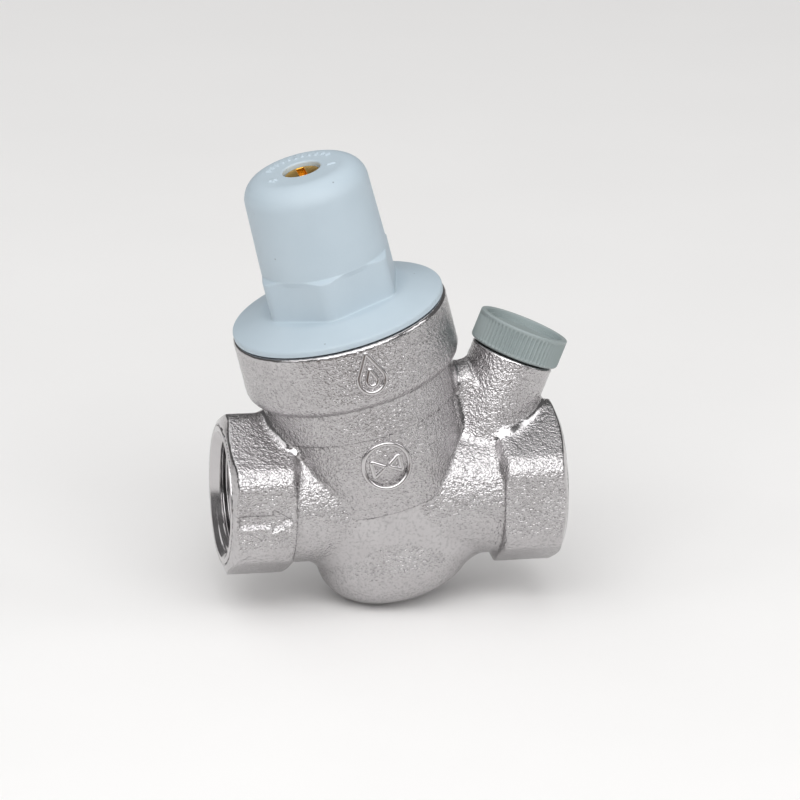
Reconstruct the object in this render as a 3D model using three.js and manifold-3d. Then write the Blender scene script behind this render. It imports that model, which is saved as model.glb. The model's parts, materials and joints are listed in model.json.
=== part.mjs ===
// Pressure reducing valve with an inclined cartridge, G 3/4 female ports and a plugged gauge port.
// Millimetres, +Z up. The pipe run lies along X (inlet at -X, outlet at +X) with its middle at the
// origin. The cartridge leans back over the inlet, and the gauge boss leans over the outlet.

import * as THREE from 'three';
import { mergeVertices } from 'three/addons/utils/BufferGeometryUtils.js';
import Module from 'manifold-3d';

const wasm = await Module();
wasm.setup();

const degree = Math.PI / 180;

// ---------------------------------------------------------------- driving dimensions

const gap = 0.3;                    // clearance between neighbouring pieces
const slack = 0.1;                  // added where a piece drops in loosely
const past = 1;                     // how far a cutting shape runs past the face that it opens
const bite = 2;                     // how far joined shapes reach into one another

// pipe run
const faceToFace = 76;
const threadRadius = 13.22;         // G 3/4, major diameter 26.44
const threadDepth = 14;
const mouthFlare = 1.08;            // the countersink's width beyond the thread
const mouthDepth = 1.05;
const faceWidth = 1.05;             // flat ring left on each end face by the chamfer
const faceChamferAngle = 25 * degree;
const innerFaceWidth = 1.4;         // flat beyond the neck on the inner end of each hexagon
const hexWall = 3.78;               // least wall outside the thread
const hexLength = 14.6;
const hexCornerWidth = 3.65;        // width of the bevel on each long edge
const neckWall = 2.58;
const passageRadius = 6;

// inlet and outlet passages: where each ends inside the barrel, and its height at the socket
const inletPassageStart = -3;
const inletPassageEnd = [-8, -11];
const outletPassageStart = 4.5;
const outletPassageEnd = [10, 15];

// seat and cartridge cage, from the flow bore outwards
const seatLevel = 0;
const seatBoreRadius = 5.2;
const seatLipWidth = 1;
const seatLipHeight = 0.9;
const seatWall = 3.2;
const seatHeight = 3.6;
const flowBoreStep = 1.6;           // the cage's flow bore beyond the seat's
const cageWall = 2.2;
const cageFlangeWidth = 1.8;        // of the flange, beyond the bore that the cage hangs in
const cageFlangeThickness = 1.5;
const cageLegs = 4;
const cageLegWidth = 3;
const cageLegThickness = 0.9;
const cageDepth = 17.5;             // from the seat down to the cage's foot
const cupWall = 2.4;
const cupFloor = 1.5;
const cupFlangeThickness = 1.5;
const supportPostRadius = 5;

// strainer
const strainerWall = 0.5;
const strainerRoom = 0.5;           // between the cage's legs and the strainer
const strainerLength = 10.2;
const strainerWellRoom = 0.9;       // between the strainer and the well that it stands in
const strainerRows = 4;
const strainerBars = 5;             // each bar makes two opposite windows
const strainerWindow = 1.6;

// barrel of the body, heights along its own leaning axis
const lean = 14.6 * degree;
const barrelOffset = -1;            // where the leaning axis crosses the pipe axis
const rimLevel = 42.9;
const ledgeDepth = 12.4;            // from the rim down to the diaphragm's ledge
const ledgeWidth = 5;
const upperChamberRoom = 3;         // beyond the cage's flange
const webTop = 8;
const webThickness = 6;
const collarWall = 3.2;
const collarHeight = 14.9;
const collarFillet = 3;
const barrelWall = 4.5;
const shoulderStep = 0.8;
const shoulderHeight = 7.9;
const barrelTaperLevel = 8;
const barrelTaper = 3;
const waistLevel = 0.3;
const rimChamfer = 0.7;

// lower bulge
const bulgeRadius = 18;             // along the pipe run
const bulgeFlatness = 0.87;         // its half width across the run, as a share of bulgeRadius
const bulgeOffset = -1;
const bulgeBottom = -24.6;
const bulgeFillet = 10.5;
const chamberTop = -4;
const chamberWall = 3;

// diaphragm stack
const beadThickness = 1.5;
const beadWidth = 2.8;
const membraneThickness = 1;
const archHeight = 1.8;
const slipRingThickness = 1;
const backingStep = 0.6;            // the backing plate is this much smaller than the plate above
const backingThickness = 1.8;
const lowerPlateThickness = 2;
const lowerPlateRim = 1;
const lowerPlateRimWidth = 1.4;

// control stem and obturator
const stemRadius = 2.5;
const stemCollarRadius = 4.2;
const stemCollarHeight = 2;
const stemLowerCollarRadius = 3.6;
const stemLowerCollarHeight = 1.3;
const stemEndAboveNut = 1.3;
const stemThreadBelowCollar = 7;
const stemNutFlats = 8;
const stemNutHeight = 4;
const travel = 2.5;                 // from open at rest to almost shut
const obturatorRimWidth = 0.6;
const obturatorThickness = 4;
const sealThickness = 1.8;
const sealProud = 0.6;
const sealInnerRadius = 4;
const sealOverlap = 0.4;            // the seal reaches this far beyond the seat's lip
const retainerThickness = 0.8;
const pistonRadius = 5.3;
const pistonFloorClearance = 0.8;
const pistonRingHeight = 3.1;       // of the piston's rubber ring above its lower end

// rubber rings: radius of the section
const cageRingSection = 0.8;
const seatRingSection = 0.55;
const pistonRingSection = 0.65;
const gaugeRingSection = 0.75;

// main spring and adjuster
const springRadius = 9.2;
const springWire = 1.4;
const springLength = 23.4;
const springTurns = 6.5;
const deadTurns = 0.75;             // closed up at each end of the spring
const closedPitch = 1.1;            // of those turns, in wire diameters
const springBoreRoom = 0.8;
const upperPlateThickness = 3;
const upperPlateSpigot = 1.5;
const screwRadius = 3.95;
const screwLength = 15.4;
const screwChamfer = 0.5;
const slotWidth = 1.8;
const slotDepth = 2;
const slotLength = 6.6;             // the slot is closed at both ends

// bonnet
const flangeInset = 0.4;            // the flange is this much smaller than the collar
const flangeThickness = 1.5;
const flangeEdge = 0.4;
const flangeRise = 2.6;             // its top climbs this much, as a cone, to the hexagon's foot
const bonnetHexWall = 2.6;
const bonnetHexHeight = 9.5;
const bonnetHexTurn = 19 * degree;
const bonnetHexChamfer = 1;
const capWall = 2.9;
const capDraft = 0.35;
const capHeight = 21.2;
const capRounding = 5;
const crownThickness = 6;
const crownBossDepth = 4;
const crownBossWall = 2.75;
const skirtWall = 3.3;
const skirtConeDepth = 5.2;

// gauge port: its axis starts inside the outlet passage and leans outwards and backwards
const gaugeFoot = new THREE.Vector3(20.5, 0, 11.2);
const gaugeLean = 22.5 * degree;
const gaugeBackLean = 5.3 * degree;
const gaugeThreadRadius = 6.6;
const gaugeBossWall = 2.8;
const gaugeRimLevel = 19.9;
const gaugeBossRoot = -4;
const gaugeThreadDepth = 11;
const gaugePassageRadius = 2.5;
const gaugeRimChamfer = 0.5;
const gaugeJoint = 0.4;             // open gap between the rim and the plug's head
const gaugeWebThickness = 13;
const gaugeWebTop = 22.5;
const gaugeWebReach = 25;

// gauge plug
const plugOverhang = 0.85;          // of the head, beyond the boss
const plugHeight = 6.8;
const plugRibs = 64;
const plugRibDepth = 0.4;
const plugChamfer = 0.9;
const plugTopChamfer = 0.3;
const plugRimWidth = 1.35;
const plugRecessDepth = 1;
const plugRecessStep = 0.6;
const plugShankLength = 9.1;

// cast marks
const markHeight = 0.5;
const markRoot = 3;                 // how far a mark is sunk into the wall that carries it
const badgeRadius = 5.7;
const badgeRimWidth = 0.8;
const badgeLevel = 13;
const badgeDotRadius = 1.6;
const dropRadius = 3.4;
const dropHeight = 10.4;
const dropTurn = 3 * degree;
const dropBelowRim = 7.9;
const arrowLength = 12.4;
const arrowShaft = 3.1;
const arrowHead = 6.2;
const arrowHeadLength = 5;
const arrowDepth = 0.4;
const arrowInset = 0.7;             // from the hexagon's inner end to the arrow's tip
const arrowLevel = -0.5;

// facets round a full turn
const fine = 36;
const medium = 24;
const coarse = 16;
const ringSides = 6;
const springFacets = 12;

// ---------------------------------------------------------------- shape helpers

// Drops everything but positions, welds them and removes triangles that collapsed on an axis.
function weld(geometry) {
  const bare = geometry.clone();
  bare.deleteAttribute('normal');
  bare.deleteAttribute('uv');
  const welded = mergeVertices(bare);
  const index = welded.index.array;
  const kept = [];
  for (let i = 0; i < index.length; i += 3) {
    const [a, b, c] = [index[i], index[i + 1], index[i + 2]];
    if (a !== b && b !== c && c !== a) kept.push(a, b, c);
  }
  welded.setIndex(kept);
  return welded;
}

// Six times the signed volume: negative when the faces point inwards.
function signedVolume(geometry) {
  const position = geometry.attributes.position;
  const index = geometry.index.array;
  const corner = [new THREE.Vector3(), new THREE.Vector3(), new THREE.Vector3()];
  let total = 0;
  for (let i = 0; i < index.length; i += 3) {
    corner.forEach((point, k) => point.fromBufferAttribute(position, index[i + k]));
    total += corner[0].dot(corner[1].clone().cross(corner[2]));
  }
  return total;
}

// A closed geometry as a solid that can be joined and cut.
function solid(geometry) {
  const closed = weld(geometry);
  const triangles = Uint32Array.from(closed.index.array);
  if (signedVolume(closed) < 0) triangles.reverse();
  const mesh = new wasm.Mesh({
    numProp: 3,
    vertProperties: Float32Array.from(closed.attributes.position.array),
    triVerts: triangles,
  });
  return new wasm.Manifold(mesh);
}

function geometryOf(body) {
  const mesh = body.getMesh();
  const geometry = new THREE.BufferGeometry();
  geometry.setAttribute('position', new THREE.BufferAttribute(mesh.vertProperties, 3));
  geometry.setIndex(new THREE.BufferAttribute(mesh.triVerts, 1));
  return geometry;
}

const join = (...bodies) => bodies.reduce((whole, body) => whole.add(body));
const cut = (body, ...tools) => tools.reduce((rest, tool) => rest.subtract(tool), body);

// Turns an outline of [radius, height] points about +Z.
function turned(outline, facets) {
  const points = outline.map(([radius, height]) => new THREE.Vector2(radius, height));
  return new THREE.LatheGeometry(points, facets).rotateX(Math.PI / 2);
}

// A turned outline that closes on itself, such as a washer or a grooved ring.
const turnedRing = (outline, facets) => turned([...outline, outline[0]], facets);

const rod = (radius, bottom, top, facets) =>
  turned([[0, bottom], [radius, bottom], [radius, top], [0, top]], facets);

const washer = (inner, outer, bottom, top, facets) =>
  turnedRing([[inner, bottom], [outer, bottom], [outer, top], [inner, top]], facets);

// Points on an arc of a turned outline, both ends included.
function arc(radius, height, bend, from, to, steps) {
  return Array.from({ length: steps + 1 }, (_, i) => {
    const angle = (from + (to - from) * i / steps) * degree;
    return [radius + bend * Math.cos(angle), height + bend * Math.sin(angle)];
  });
}

function prism(points, bottom, top) {
  const shape = new THREE.Shape(points.map(([x, y]) => new THREE.Vector2(x, y)));
  const options = { depth: top - bottom, bevelEnabled: false };
  return new THREE.ExtrudeGeometry(shape, options).translate(0, 0, bottom);
}

const hexagon = (flats, turn) => Array.from({ length: 6 }, (_, i) => {
  const angle = turn + i * Math.PI / 3;
  const radius = flats / 2 / Math.cos(Math.PI / 6);
  return [radius * Math.cos(angle), radius * Math.sin(angle)];
});

// A rubber ring of round section, its outline closed on itself.
function rubberRing(section, outerRadius, height) {
  const outline = arc(outerRadius - section, height, section, 0, 360 - 360 / ringSides, ringSides - 1);
  return turnedRing(outline, medium);
}

// ---------------------------------------------------------------- frames

const barrelFrame = new THREE.Matrix4().makeRotationY(-lean).setPosition(barrelOffset, 0, 0);

const gaugeAxis = new THREE.Vector3(
  Math.sin(gaugeLean) * Math.cos(gaugeBackLean),
  Math.sin(gaugeBackLean),
  Math.cos(gaugeLean) * Math.cos(gaugeBackLean),
);
const upright = new THREE.Vector3(0, 0, 1);
const gaugeTurn = new THREE.Quaternion().setFromUnitVectors(upright, gaugeAxis);
const gaugeFrame = new THREE.Matrix4().makeRotationFromQuaternion(gaugeTurn).setPosition(gaugeFoot);

const outletFrame = new THREE.Matrix4().makeRotationY(Math.PI / 2);
const inletFrame = new THREE.Matrix4().makeRotationZ(Math.PI).multiply(outletFrame);

const placed = (geometry, frame) => solid(geometry.applyMatrix4(frame));

// ---------------------------------------------------------------- sizes that follow

// radii of the pipe run
const halfLength = faceToFace / 2;
const hexInnerEnd = halfLength - hexLength;
const socketBottom = halfLength - threadDepth;
const mouthRadius = threadRadius + mouthFlare;
const faceRadius = mouthRadius + faceWidth;
const neckRadius = threadRadius + neckWall;
const innerFaceRadius = neckRadius + innerFaceWidth;
const hexFlats = 2 * (threadRadius + hexWall);

// radii from the flow bore outwards
const seatRadius = seatBoreRadius + seatWall;
const seatPocketRadius = seatRadius + gap;
const flowBoreRadius = seatBoreRadius + flowBoreStep;
const cageRadius = seatPocketRadius + cageWall;
const cartridgeBoreRadius = cageRadius + gap;
const cageFlangeRadius = cartridgeBoreRadius + cageFlangeWidth;
const upperChamberRadius = cageFlangeRadius + upperChamberRoom;
const bonnetThreadRadius = upperChamberRadius + ledgeWidth;
const collarRadius = bonnetThreadRadius + collarWall;
const barrelRadius = upperChamberRadius + barrelWall;
const shoulderRadius = barrelRadius + shoulderStep;
const waistRadius = barrelRadius - barrelTaper;
const skirtRadius = bonnetThreadRadius - gap;
const skirtInnerRadius = skirtRadius - skirtWall;
const diaphragmRadius = skirtRadius - slack;
const flangeRadius = collarRadius - flangeInset;

// radii from the spring outwards
const springOuterRadius = springRadius + springWire;
const springBoreRadius = springOuterRadius + springBoreRoom;
const bonnetHexFlats = 2 * (springBoreRadius + bonnetHexWall);
const capRadiusLow = springBoreRadius + capWall;
const capRadiusHigh = capRadiusLow - capDraft;
const lowerPlateRadius = springOuterRadius + 2 * gap + lowerPlateRimWidth;
const backingRadius = lowerPlateRadius - backingStep;
const stemHoleRadius = stemRadius + gap;
const screwHoleRadius = screwRadius + gap;

// obturator and cup
const pistonBoreRadius = pistonRadius + gap;
const cupRadius = pistonBoreRadius + cupWall;
const retainerRadius = seatBoreRadius - gap;
const sealOuterRadius = seatBoreRadius + seatLipWidth + sealOverlap;
const obturatorRadius = sealOuterRadius + gap + obturatorRimWidth;
const strainerRadius = seatPocketRadius + cageLegThickness + strainerRoom + strainerWall;

// heights of the barrel
const collarBottom = rimLevel - collarHeight;
const shoulderBottom = collarBottom - shoulderHeight;
const ledgeLevel = rimLevel - ledgeDepth;
const webBottom = webTop - webThickness;

// diaphragm stack, upwards from the ledge
const beadBottom = ledgeLevel + gap;
const beadTop = beadBottom + beadThickness;
const membraneBottom = beadBottom + (beadThickness - membraneThickness) / 2;
const membraneTop = membraneBottom + membraneThickness;
const slipRingBottom = beadTop + gap;
const skirtBottom = slipRingBottom + slipRingThickness + gap;
const backingTop = membraneBottom - gap;
const backingBottom = backingTop - backingThickness;
const lowerPlateBottom = membraneTop + gap;
const lowerPlateTop = lowerPlateBottom + lowerPlateThickness;
const springBottom = lowerPlateTop + gap;
const springTop = springBottom + springLength;
const stemNutTop = springBottom + stemNutHeight;
const upperPlateBottom = springTop + gap;
const upperPlateTop = upperPlateBottom + upperPlateThickness;
const screwBottom = upperPlateTop + gap;
const screwTop = screwBottom + screwLength;

// obturator stack, downwards from the seat
const sealTop = seatLevel - travel - gap;
const sealBottom = sealTop - sealThickness;
const obturatorTop = sealTop - sealProud;
const obturatorBottom = obturatorTop - obturatorThickness;
const retainerBottom = sealTop + gap;
const lowerCollarBottom = retainerBottom + retainerThickness + gap;
const stemBottom = lowerCollarBottom - stemThreadBelowCollar;
const cupBottom = seatLevel - cageDepth;
const pistonBottom = cupBottom + cupFloor + pistonFloorClearance;

// cage
const cageRingBottom = seatLevel + seatLipHeight;
const seatTop = seatLevel + seatHeight;
const cageFlangeBottom = webTop + gap;
const cageTop = cageFlangeBottom + cageFlangeThickness;
const strainerTop = cageRingBottom - gap;
const strainerBottom = strainerTop - strainerLength;
const cupTop = strainerBottom - gap;

// bonnet
const flangeBottom = rimLevel + gap;
const flangeTop = flangeBottom + flangeThickness;
const bonnetHexFoot = flangeTop + flangeRise;
const bonnetHexTop = bonnetHexFoot + bonnetHexHeight;
const capTop = bonnetHexTop + capHeight;
const skirtConeTop = flangeBottom;
const skirtConeBottom = skirtConeTop - skirtConeDepth;

// gauge port
const gaugeBossRadius = gaugeThreadRadius + gaugeBossWall;
const plugRadius = gaugeBossRadius + plugOverhang;
const plugRecessRadius = plugRadius - plugRimWidth;
const plugBottom = gaugeRimLevel + gaugeJoint;
const plugTop = plugBottom + plugHeight;
const gaugeRingBottom = gaugeRimLevel + gap;
const gaugeRingTop = gaugeRingBottom + 2 * gaugeRingSection;
const gaugeShankRadius = gaugeThreadRadius - gap - slack;
const gaugeRingOuter = gaugeShankRadius + gap + 2 * gaugeRingSection;

// marks
const dropLevel = rimLevel - dropBelowRim;
const arrowTip = -hexInnerEnd - arrowInset;

// ---------------------------------------------------------------- valve body

// A hexagon with its long edges bevelled and both ends turned to shallow cones, along +Z.
function portHexagon() {
  const cornerRadius = hexFlats / 2 / Math.cos(Math.PI / 6);
  const half = hexCornerWidth / 2;
  const bevelRadius = cornerRadius - half * Math.tan(Math.PI / 6);
  const points = [];
  for (let i = 0; i < 6; i += 1) {
    const angle = i * Math.PI / 3;
    const along = new THREE.Vector2(Math.cos(angle), Math.sin(angle));
    for (const side of [-half, half]) {
      points.push([
        along.x * bevelRadius - along.y * side,
        along.y * bevelRadius + along.x * side,
      ]);
    }
  }
  const drop = (radius) => (cornerRadius - radius) * Math.tan(faceChamferAngle);
  const turnedEnds = turned([
    [0, hexInnerEnd],
    [innerFaceRadius, hexInnerEnd],
    [cornerRadius, hexInnerEnd + drop(innerFaceRadius)],
    [cornerRadius, halfLength - drop(faceRadius)],
    [faceRadius, halfLength],
    [0, halfLength],
  ], fine);
  return solid(prism(points, hexInnerEnd, halfLength)).intersect(solid(turnedEnds));
}

// The threaded socket of one port, from past the face to its flat bottom, along +Z.
function portSocket() {
  const outside = halfLength + past;
  return turned([
    [0, halfLength - threadDepth],
    [threadRadius, halfLength - threadDepth],
    [threadRadius, halfLength - mouthDepth],
    [mouthRadius, halfLength],
    [mouthRadius, outside],
    [0, outside],
  ], fine);
}

function barrelOutside() {
  const filletCentre = collarRadius - collarFillet;
  return turned([
    [0, waistLevel],
    [waistRadius, waistLevel],
    ...arc(waistRadius, barrelTaperLevel, barrelRadius - waistRadius, -70, 0, 4),
    [barrelRadius, shoulderBottom],
    [shoulderRadius, shoulderBottom + shoulderStep / 2],
    [shoulderRadius, collarBottom],
    ...arc(filletCentre, collarBottom + collarFillet, collarFillet, -80, 0, 4),
    [collarRadius, rimLevel - rimChamfer],
    [collarRadius - rimChamfer / 2, rimLevel],
    [0, rimLevel],
  ], fine);
}

function bulge(radius, bottom, top, fillet) {
  return turned([
    [0, bottom],
    ...arc(radius - fillet, bottom + fillet, fillet, -90, 0, 5),
    [radius, top],
    [0, top],
  ], fine).scale(1, bulgeFlatness, 1).translate(bulgeOffset, 0, 0);
}

// A straight round passage between two points of the pipe run's middle plane.
function passage(from, to) {
  const start = new THREE.Vector3(from[0], 0, from[1]);
  const end = new THREE.Vector3(to[0], 0, to[1]);
  const along = end.clone().sub(start);
  const turn = new THREE.Quaternion().setFromUnitVectors(upright, along.clone().normalize());
  const frame = new THREE.Matrix4().makeRotationFromQuaternion(turn).setPosition(start);
  return placed(rod(passageRadius, 0, along.length(), coarse), frame);
}

// A mark's prism stands out along -Y; keeping only what lies inside a slightly larger drum makes
// its top follow the barrel.
function raisedMark(mark, drumRadius, level, turn) {
  const stand = new THREE.Matrix4().makeRotationZ(turn);
  stand.multiply(new THREE.Matrix4().makeTranslation(0, 0, level));
  stand.multiply(new THREE.Matrix4().makeRotationX(Math.PI / 2));
  const reach = drumRadius + markHeight;
  const drum = solid(rod(reach, level - 2 * badgeRadius, level + 2 * dropHeight, fine));
  return placed(mark, stand).intersect(drum);
}

function badgeMark() {
  const back = barrelRadius - markRoot;
  const front = barrelRadius + 2 * markHeight;
  const rim = washer(badgeRadius - badgeRimWidth, badgeRadius, back, front, coarse);
  const dot = rod(badgeDotRadius, back, front, coarse);
  return join(
    raisedMark(rim, barrelRadius, badgeLevel, 0),
    raisedMark(dot, barrelRadius, badgeLevel, 0),
  );
}

// A water drop: a round foot whose sides run in straight lines up to a point.
function dropMark() {
  const tip = dropHeight - dropRadius;
  const touch = Math.asin(dropRadius / tip) / degree;
  const outline = [[0, tip], ...arc(0, 0, dropRadius, 180 - touch, 360 + touch, 14)];
  const mark = prism(outline, collarRadius - markRoot, collarRadius + 2 * markHeight);
  return raisedMark(mark, collarRadius, dropLevel, dropTurn);
}

// The flow arrow, sunk into the front flat of the inlet hexagon and pointing at the outlet.
function arrowRecess() {
  const tail = arrowTip - arrowLength;
  const neck = arrowTip - arrowHeadLength;
  const outline = [
    [tail, -arrowShaft / 2],
    [neck, -arrowShaft / 2],
    [neck, -arrowHead / 2],
    [arrowTip, 0],
    [neck, arrowHead / 2],
    [neck, arrowShaft / 2],
    [tail, arrowShaft / 2],
  ];
  const frame = new THREE.Matrix4().makeRotationX(Math.PI / 2).setPosition(0, 0, arrowLevel);
  const flat = hexFlats / 2;
  return placed(prism(outline, flat - arrowDepth, flat + past), frame);
}

function valveBody() {
  const neck = rod(neckRadius, -socketBottom, socketBottom, medium);
  const boss = turned([
    [0, gaugeBossRoot],
    [gaugeBossRadius, gaugeBossRoot],
    [gaugeBossRadius, gaugeRimLevel - gaugeRimChamfer],
    [gaugeBossRadius - gaugeRimChamfer, gaugeRimLevel],
    [0, gaugeRimLevel],
  ], medium);
  const web = new THREE.BoxGeometry(gaugeWebReach, gaugeWebThickness, gaugeWebTop);
  web.translate(gaugeWebReach / 2, 0, gaugeWebTop / 2);

  const outside = join(
    placed(barrelOutside(), barrelFrame),
    placed(bulge(bulgeRadius, bulgeBottom, webBottom, bulgeFillet), barrelFrame),
    placed(neck, outletFrame),
    portHexagon().transform(outletFrame.elements),
    portHexagon().transform(inletFrame.elements),
    placed(boss, gaugeFrame),
    placed(web, barrelFrame),
    badgeMark().transform(barrelFrame.elements),
    dropMark().transform(barrelFrame.elements),
  );

  const barrelBore = turned([
    [0, webBottom - gap],
    [cartridgeBoreRadius, webBottom - gap],
    [cartridgeBoreRadius, webTop],
    [upperChamberRadius, webTop],
    [upperChamberRadius, ledgeLevel],
    [bonnetThreadRadius, ledgeLevel],
    [bonnetThreadRadius, rimLevel + past],
    [0, rimLevel + past],
  ], fine);
  const chamberRadius = bulgeRadius - chamberWall;
  const chamberBottom = bulgeBottom + chamberWall;
  const chamberFillet = bulgeFillet - chamberWall;
  const strainerWell = rod(strainerRadius + strainerWellRoom, strainerBottom, webBottom, medium);
  const gaugeBore = turned([
    [0, gaugeBossRoot],
    [gaugePassageRadius, gaugeBossRoot],
    [gaugePassageRadius, gaugeRimLevel - gaugeThreadDepth],
    [gaugeThreadRadius, gaugeRimLevel - gaugeThreadDepth],
    [gaugeThreadRadius, gaugeRimLevel + past],
    [0, gaugeRimLevel + past],
  ], coarse);
  const chamber = cut(
    join(
      placed(bulge(chamberRadius, chamberBottom, chamberTop, chamberFillet), barrelFrame),
      placed(strainerWell, barrelFrame),
    ),
    placed(rod(supportPostRadius, bulgeBottom, cupBottom - gap, coarse), barrelFrame),
  );
  return cut(
    outside,
    placed(barrelBore, barrelFrame),
    chamber,
    placed(portSocket(), outletFrame),
    placed(portSocket(), inletFrame),
    passage([-socketBottom - past, inletPassageStart], inletPassageEnd),
    passage([socketBottom + past, outletPassageStart], outletPassageEnd),
    placed(gaugeBore, gaugeFrame),
    arrowRecess(),
  );
}

// ---------------------------------------------------------------- bonnet and adjuster

function bonnet() {
  const hexCorner = bonnetHexFlats / 2 / Math.cos(Math.PI / 6);
  const hexEnds = turned([
    [0, flangeBottom],
    [hexCorner, flangeBottom],
    [hexCorner, bonnetHexTop - bonnetHexChamfer],
    [capRadiusLow, bonnetHexTop],
    [0, bonnetHexTop],
  ], fine);
  const hexSides = prism(hexagon(bonnetHexFlats, bonnetHexTurn), flangeBottom, bonnetHexTop);
  const hexBlock = solid(hexSides).intersect(solid(hexEnds));
  const cap = turned([
    [0, bonnetHexTop - bonnetHexChamfer],
    [bonnetHexFlats / 2, bonnetHexTop - bonnetHexChamfer],
    [capRadiusLow, bonnetHexTop],
    [capRadiusHigh, capTop - capRounding],
    ...arc(capRadiusHigh - capRounding, capTop - capRounding, capRounding, 18, 90, 4),
    [0, capTop],
  ], fine);
  const base = turned([
    [0, skirtBottom],
    [skirtRadius, skirtBottom],
    [skirtRadius, flangeBottom],
    [flangeRadius, flangeBottom],
    [flangeRadius, flangeTop - flangeEdge],
    [flangeRadius - flangeEdge, flangeTop],
    [hexCorner, bonnetHexFoot],
    [0, bonnetHexFoot],
  ], fine);
  const ceiling = capTop - crownThickness;
  const inside = turned([
    [0, skirtBottom - past],
    [skirtInnerRadius, skirtBottom - past],
    [skirtInnerRadius, skirtConeBottom],
    [springBoreRadius, skirtConeTop],
    [springBoreRadius, ceiling],
    [screwHoleRadius + crownBossWall, ceiling],
    [screwHoleRadius + crownBossWall, ceiling - crownBossDepth],
    [screwHoleRadius, ceiling - crownBossDepth],
    [screwHoleRadius, capTop + past],
    [0, capTop + past],
  ], medium);
  return cut(join(hexBlock, solid(cap), solid(base)), solid(inside));
}

function adjustingScrew() {
  const shank = turned([
    [0, screwBottom],
    [screwRadius - screwChamfer, screwBottom],
    [screwRadius, screwBottom + screwChamfer],
    [screwRadius, screwTop - screwChamfer],
    [screwRadius - screwChamfer, screwTop],
    [0, screwTop],
  ], coarse);
  const slot = new THREE.BoxGeometry(slotWidth, slotLength, 2 * slotDepth);
  slot.translate(0, 0, screwTop);
  return cut(solid(shank), solid(slot));
}

function upperSpringPlate() {
  const spigotRadius = springRadius - springWire - gap;
  return turned([
    [0, upperPlateBottom - upperPlateSpigot],
    [spigotRadius, upperPlateBottom - upperPlateSpigot],
    [spigotRadius, upperPlateBottom],
    [springBoreRadius - gap, upperPlateBottom],
    [springBoreRadius - gap, upperPlateTop],
    [0, upperPlateTop],
  ], medium);
}

// Centre line of the main spring: its first and last turns close up against the plates.
class SpringLine extends THREE.Curve {
  getPoint(t, target = new THREE.Vector3()) {
    const angle = t * springTurns * 2 * Math.PI;
    const deadTurn = deadTurns / springTurns;
    const eased = THREE.MathUtils.clamp((t - deadTurn) / (1 - 2 * deadTurn), 0, 1);
    const rise = springLength - 2 * springWire;
    const closed = 2 * springWire * deadTurns * closedPitch;
    const ends = Math.min(t, deadTurn) + Math.max(t - 1 + deadTurn, 0);
    const height = closed * ends / deadTurn + (rise - 2 * closed) * eased;
    return target.set(springRadius * Math.cos(angle), springRadius * Math.sin(angle), height);
  }
}

function mainSpring() {
  const section = new THREE.Shape(Array.from({ length: ringSides }, (_, i) => {
    const angle = i * 2 * Math.PI / ringSides;
    return new THREE.Vector2(springWire * Math.cos(angle), springWire * Math.sin(angle));
  }));
  const steps = Math.round(springTurns * springFacets);
  const options = { steps, extrudePath: new SpringLine(), bevelEnabled: false };
  return new THREE.ExtrudeGeometry(section, options).translate(0, 0, springBottom + springWire);
}

// ---------------------------------------------------------------- diaphragm stack and stem

function diaphragm() {
  const archInner = lowerPlateRadius + gap;
  const archOuter = diaphragmRadius - beadWidth;
  const steps = 6;
  const arch = (base) => Array.from({ length: steps + 1 }, (_, i) => {
    const u = i / steps;
    const radius = archInner + (archOuter - archInner) * u;
    return [radius, base + archHeight * Math.sin(Math.PI * u)];
  });
  return turnedRing([
    [stemHoleRadius, membraneBottom],
    ...arch(membraneBottom),
    [archOuter + slack, beadBottom],
    [diaphragmRadius, beadBottom],
    [diaphragmRadius, beadTop],
    [archOuter + slack, beadTop],
    ...arch(membraneTop).reverse(),
    [stemHoleRadius, membraneTop],
  ], medium);
}

function lowerSpringPlate() {
  const rimInner = springOuterRadius + 2 * gap;
  return turnedRing([
    [stemHoleRadius, lowerPlateBottom],
    [lowerPlateRadius, lowerPlateBottom],
    [lowerPlateRadius, lowerPlateTop + lowerPlateRim],
    [rimInner, lowerPlateTop + lowerPlateRim],
    [rimInner, lowerPlateTop],
    [stemHoleRadius, lowerPlateTop],
  ], medium);
}

function stemNut() {
  const block = solid(prism(hexagon(stemNutFlats, 0), springBottom, stemNutTop));
  return cut(block, solid(rod(stemHoleRadius, springBottom - past, stemNutTop + past, coarse)));
}

function stem() {
  const upperCollarTop = backingBottom - gap;
  const upperCollarBottom = upperCollarTop - stemCollarHeight;
  return turned([
    [0, stemBottom],
    [stemRadius, stemBottom],
    [stemRadius, lowerCollarBottom],
    [stemLowerCollarRadius, lowerCollarBottom],
    [stemLowerCollarRadius, lowerCollarBottom + stemLowerCollarHeight],
    [stemRadius, lowerCollarBottom + stemLowerCollarHeight],
    [stemRadius, upperCollarBottom],
    [stemCollarRadius, upperCollarBottom],
    [stemCollarRadius, upperCollarTop],
    [stemRadius, upperCollarTop],
    [stemRadius, stemNutTop + stemEndAboveNut],
    [0, stemNutTop + stemEndAboveNut],
  ], coarse);
}

// Radial and axial room of a groove that holds a rubber ring with the usual gap all round it.
const groove = (section, outerRadius, height) => ({
  floor: outerRadius - 2 * section - gap,
  bottom: height - section - gap,
  top: height + section + gap,
});

const pistonRingLevel = pistonBottom + pistonRingHeight;
const seatRingLevel = (cageRingBottom + seatTop) / 2;
const cageRingLevel = (seatTop + gap + cageFlangeBottom) / 2;

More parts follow.
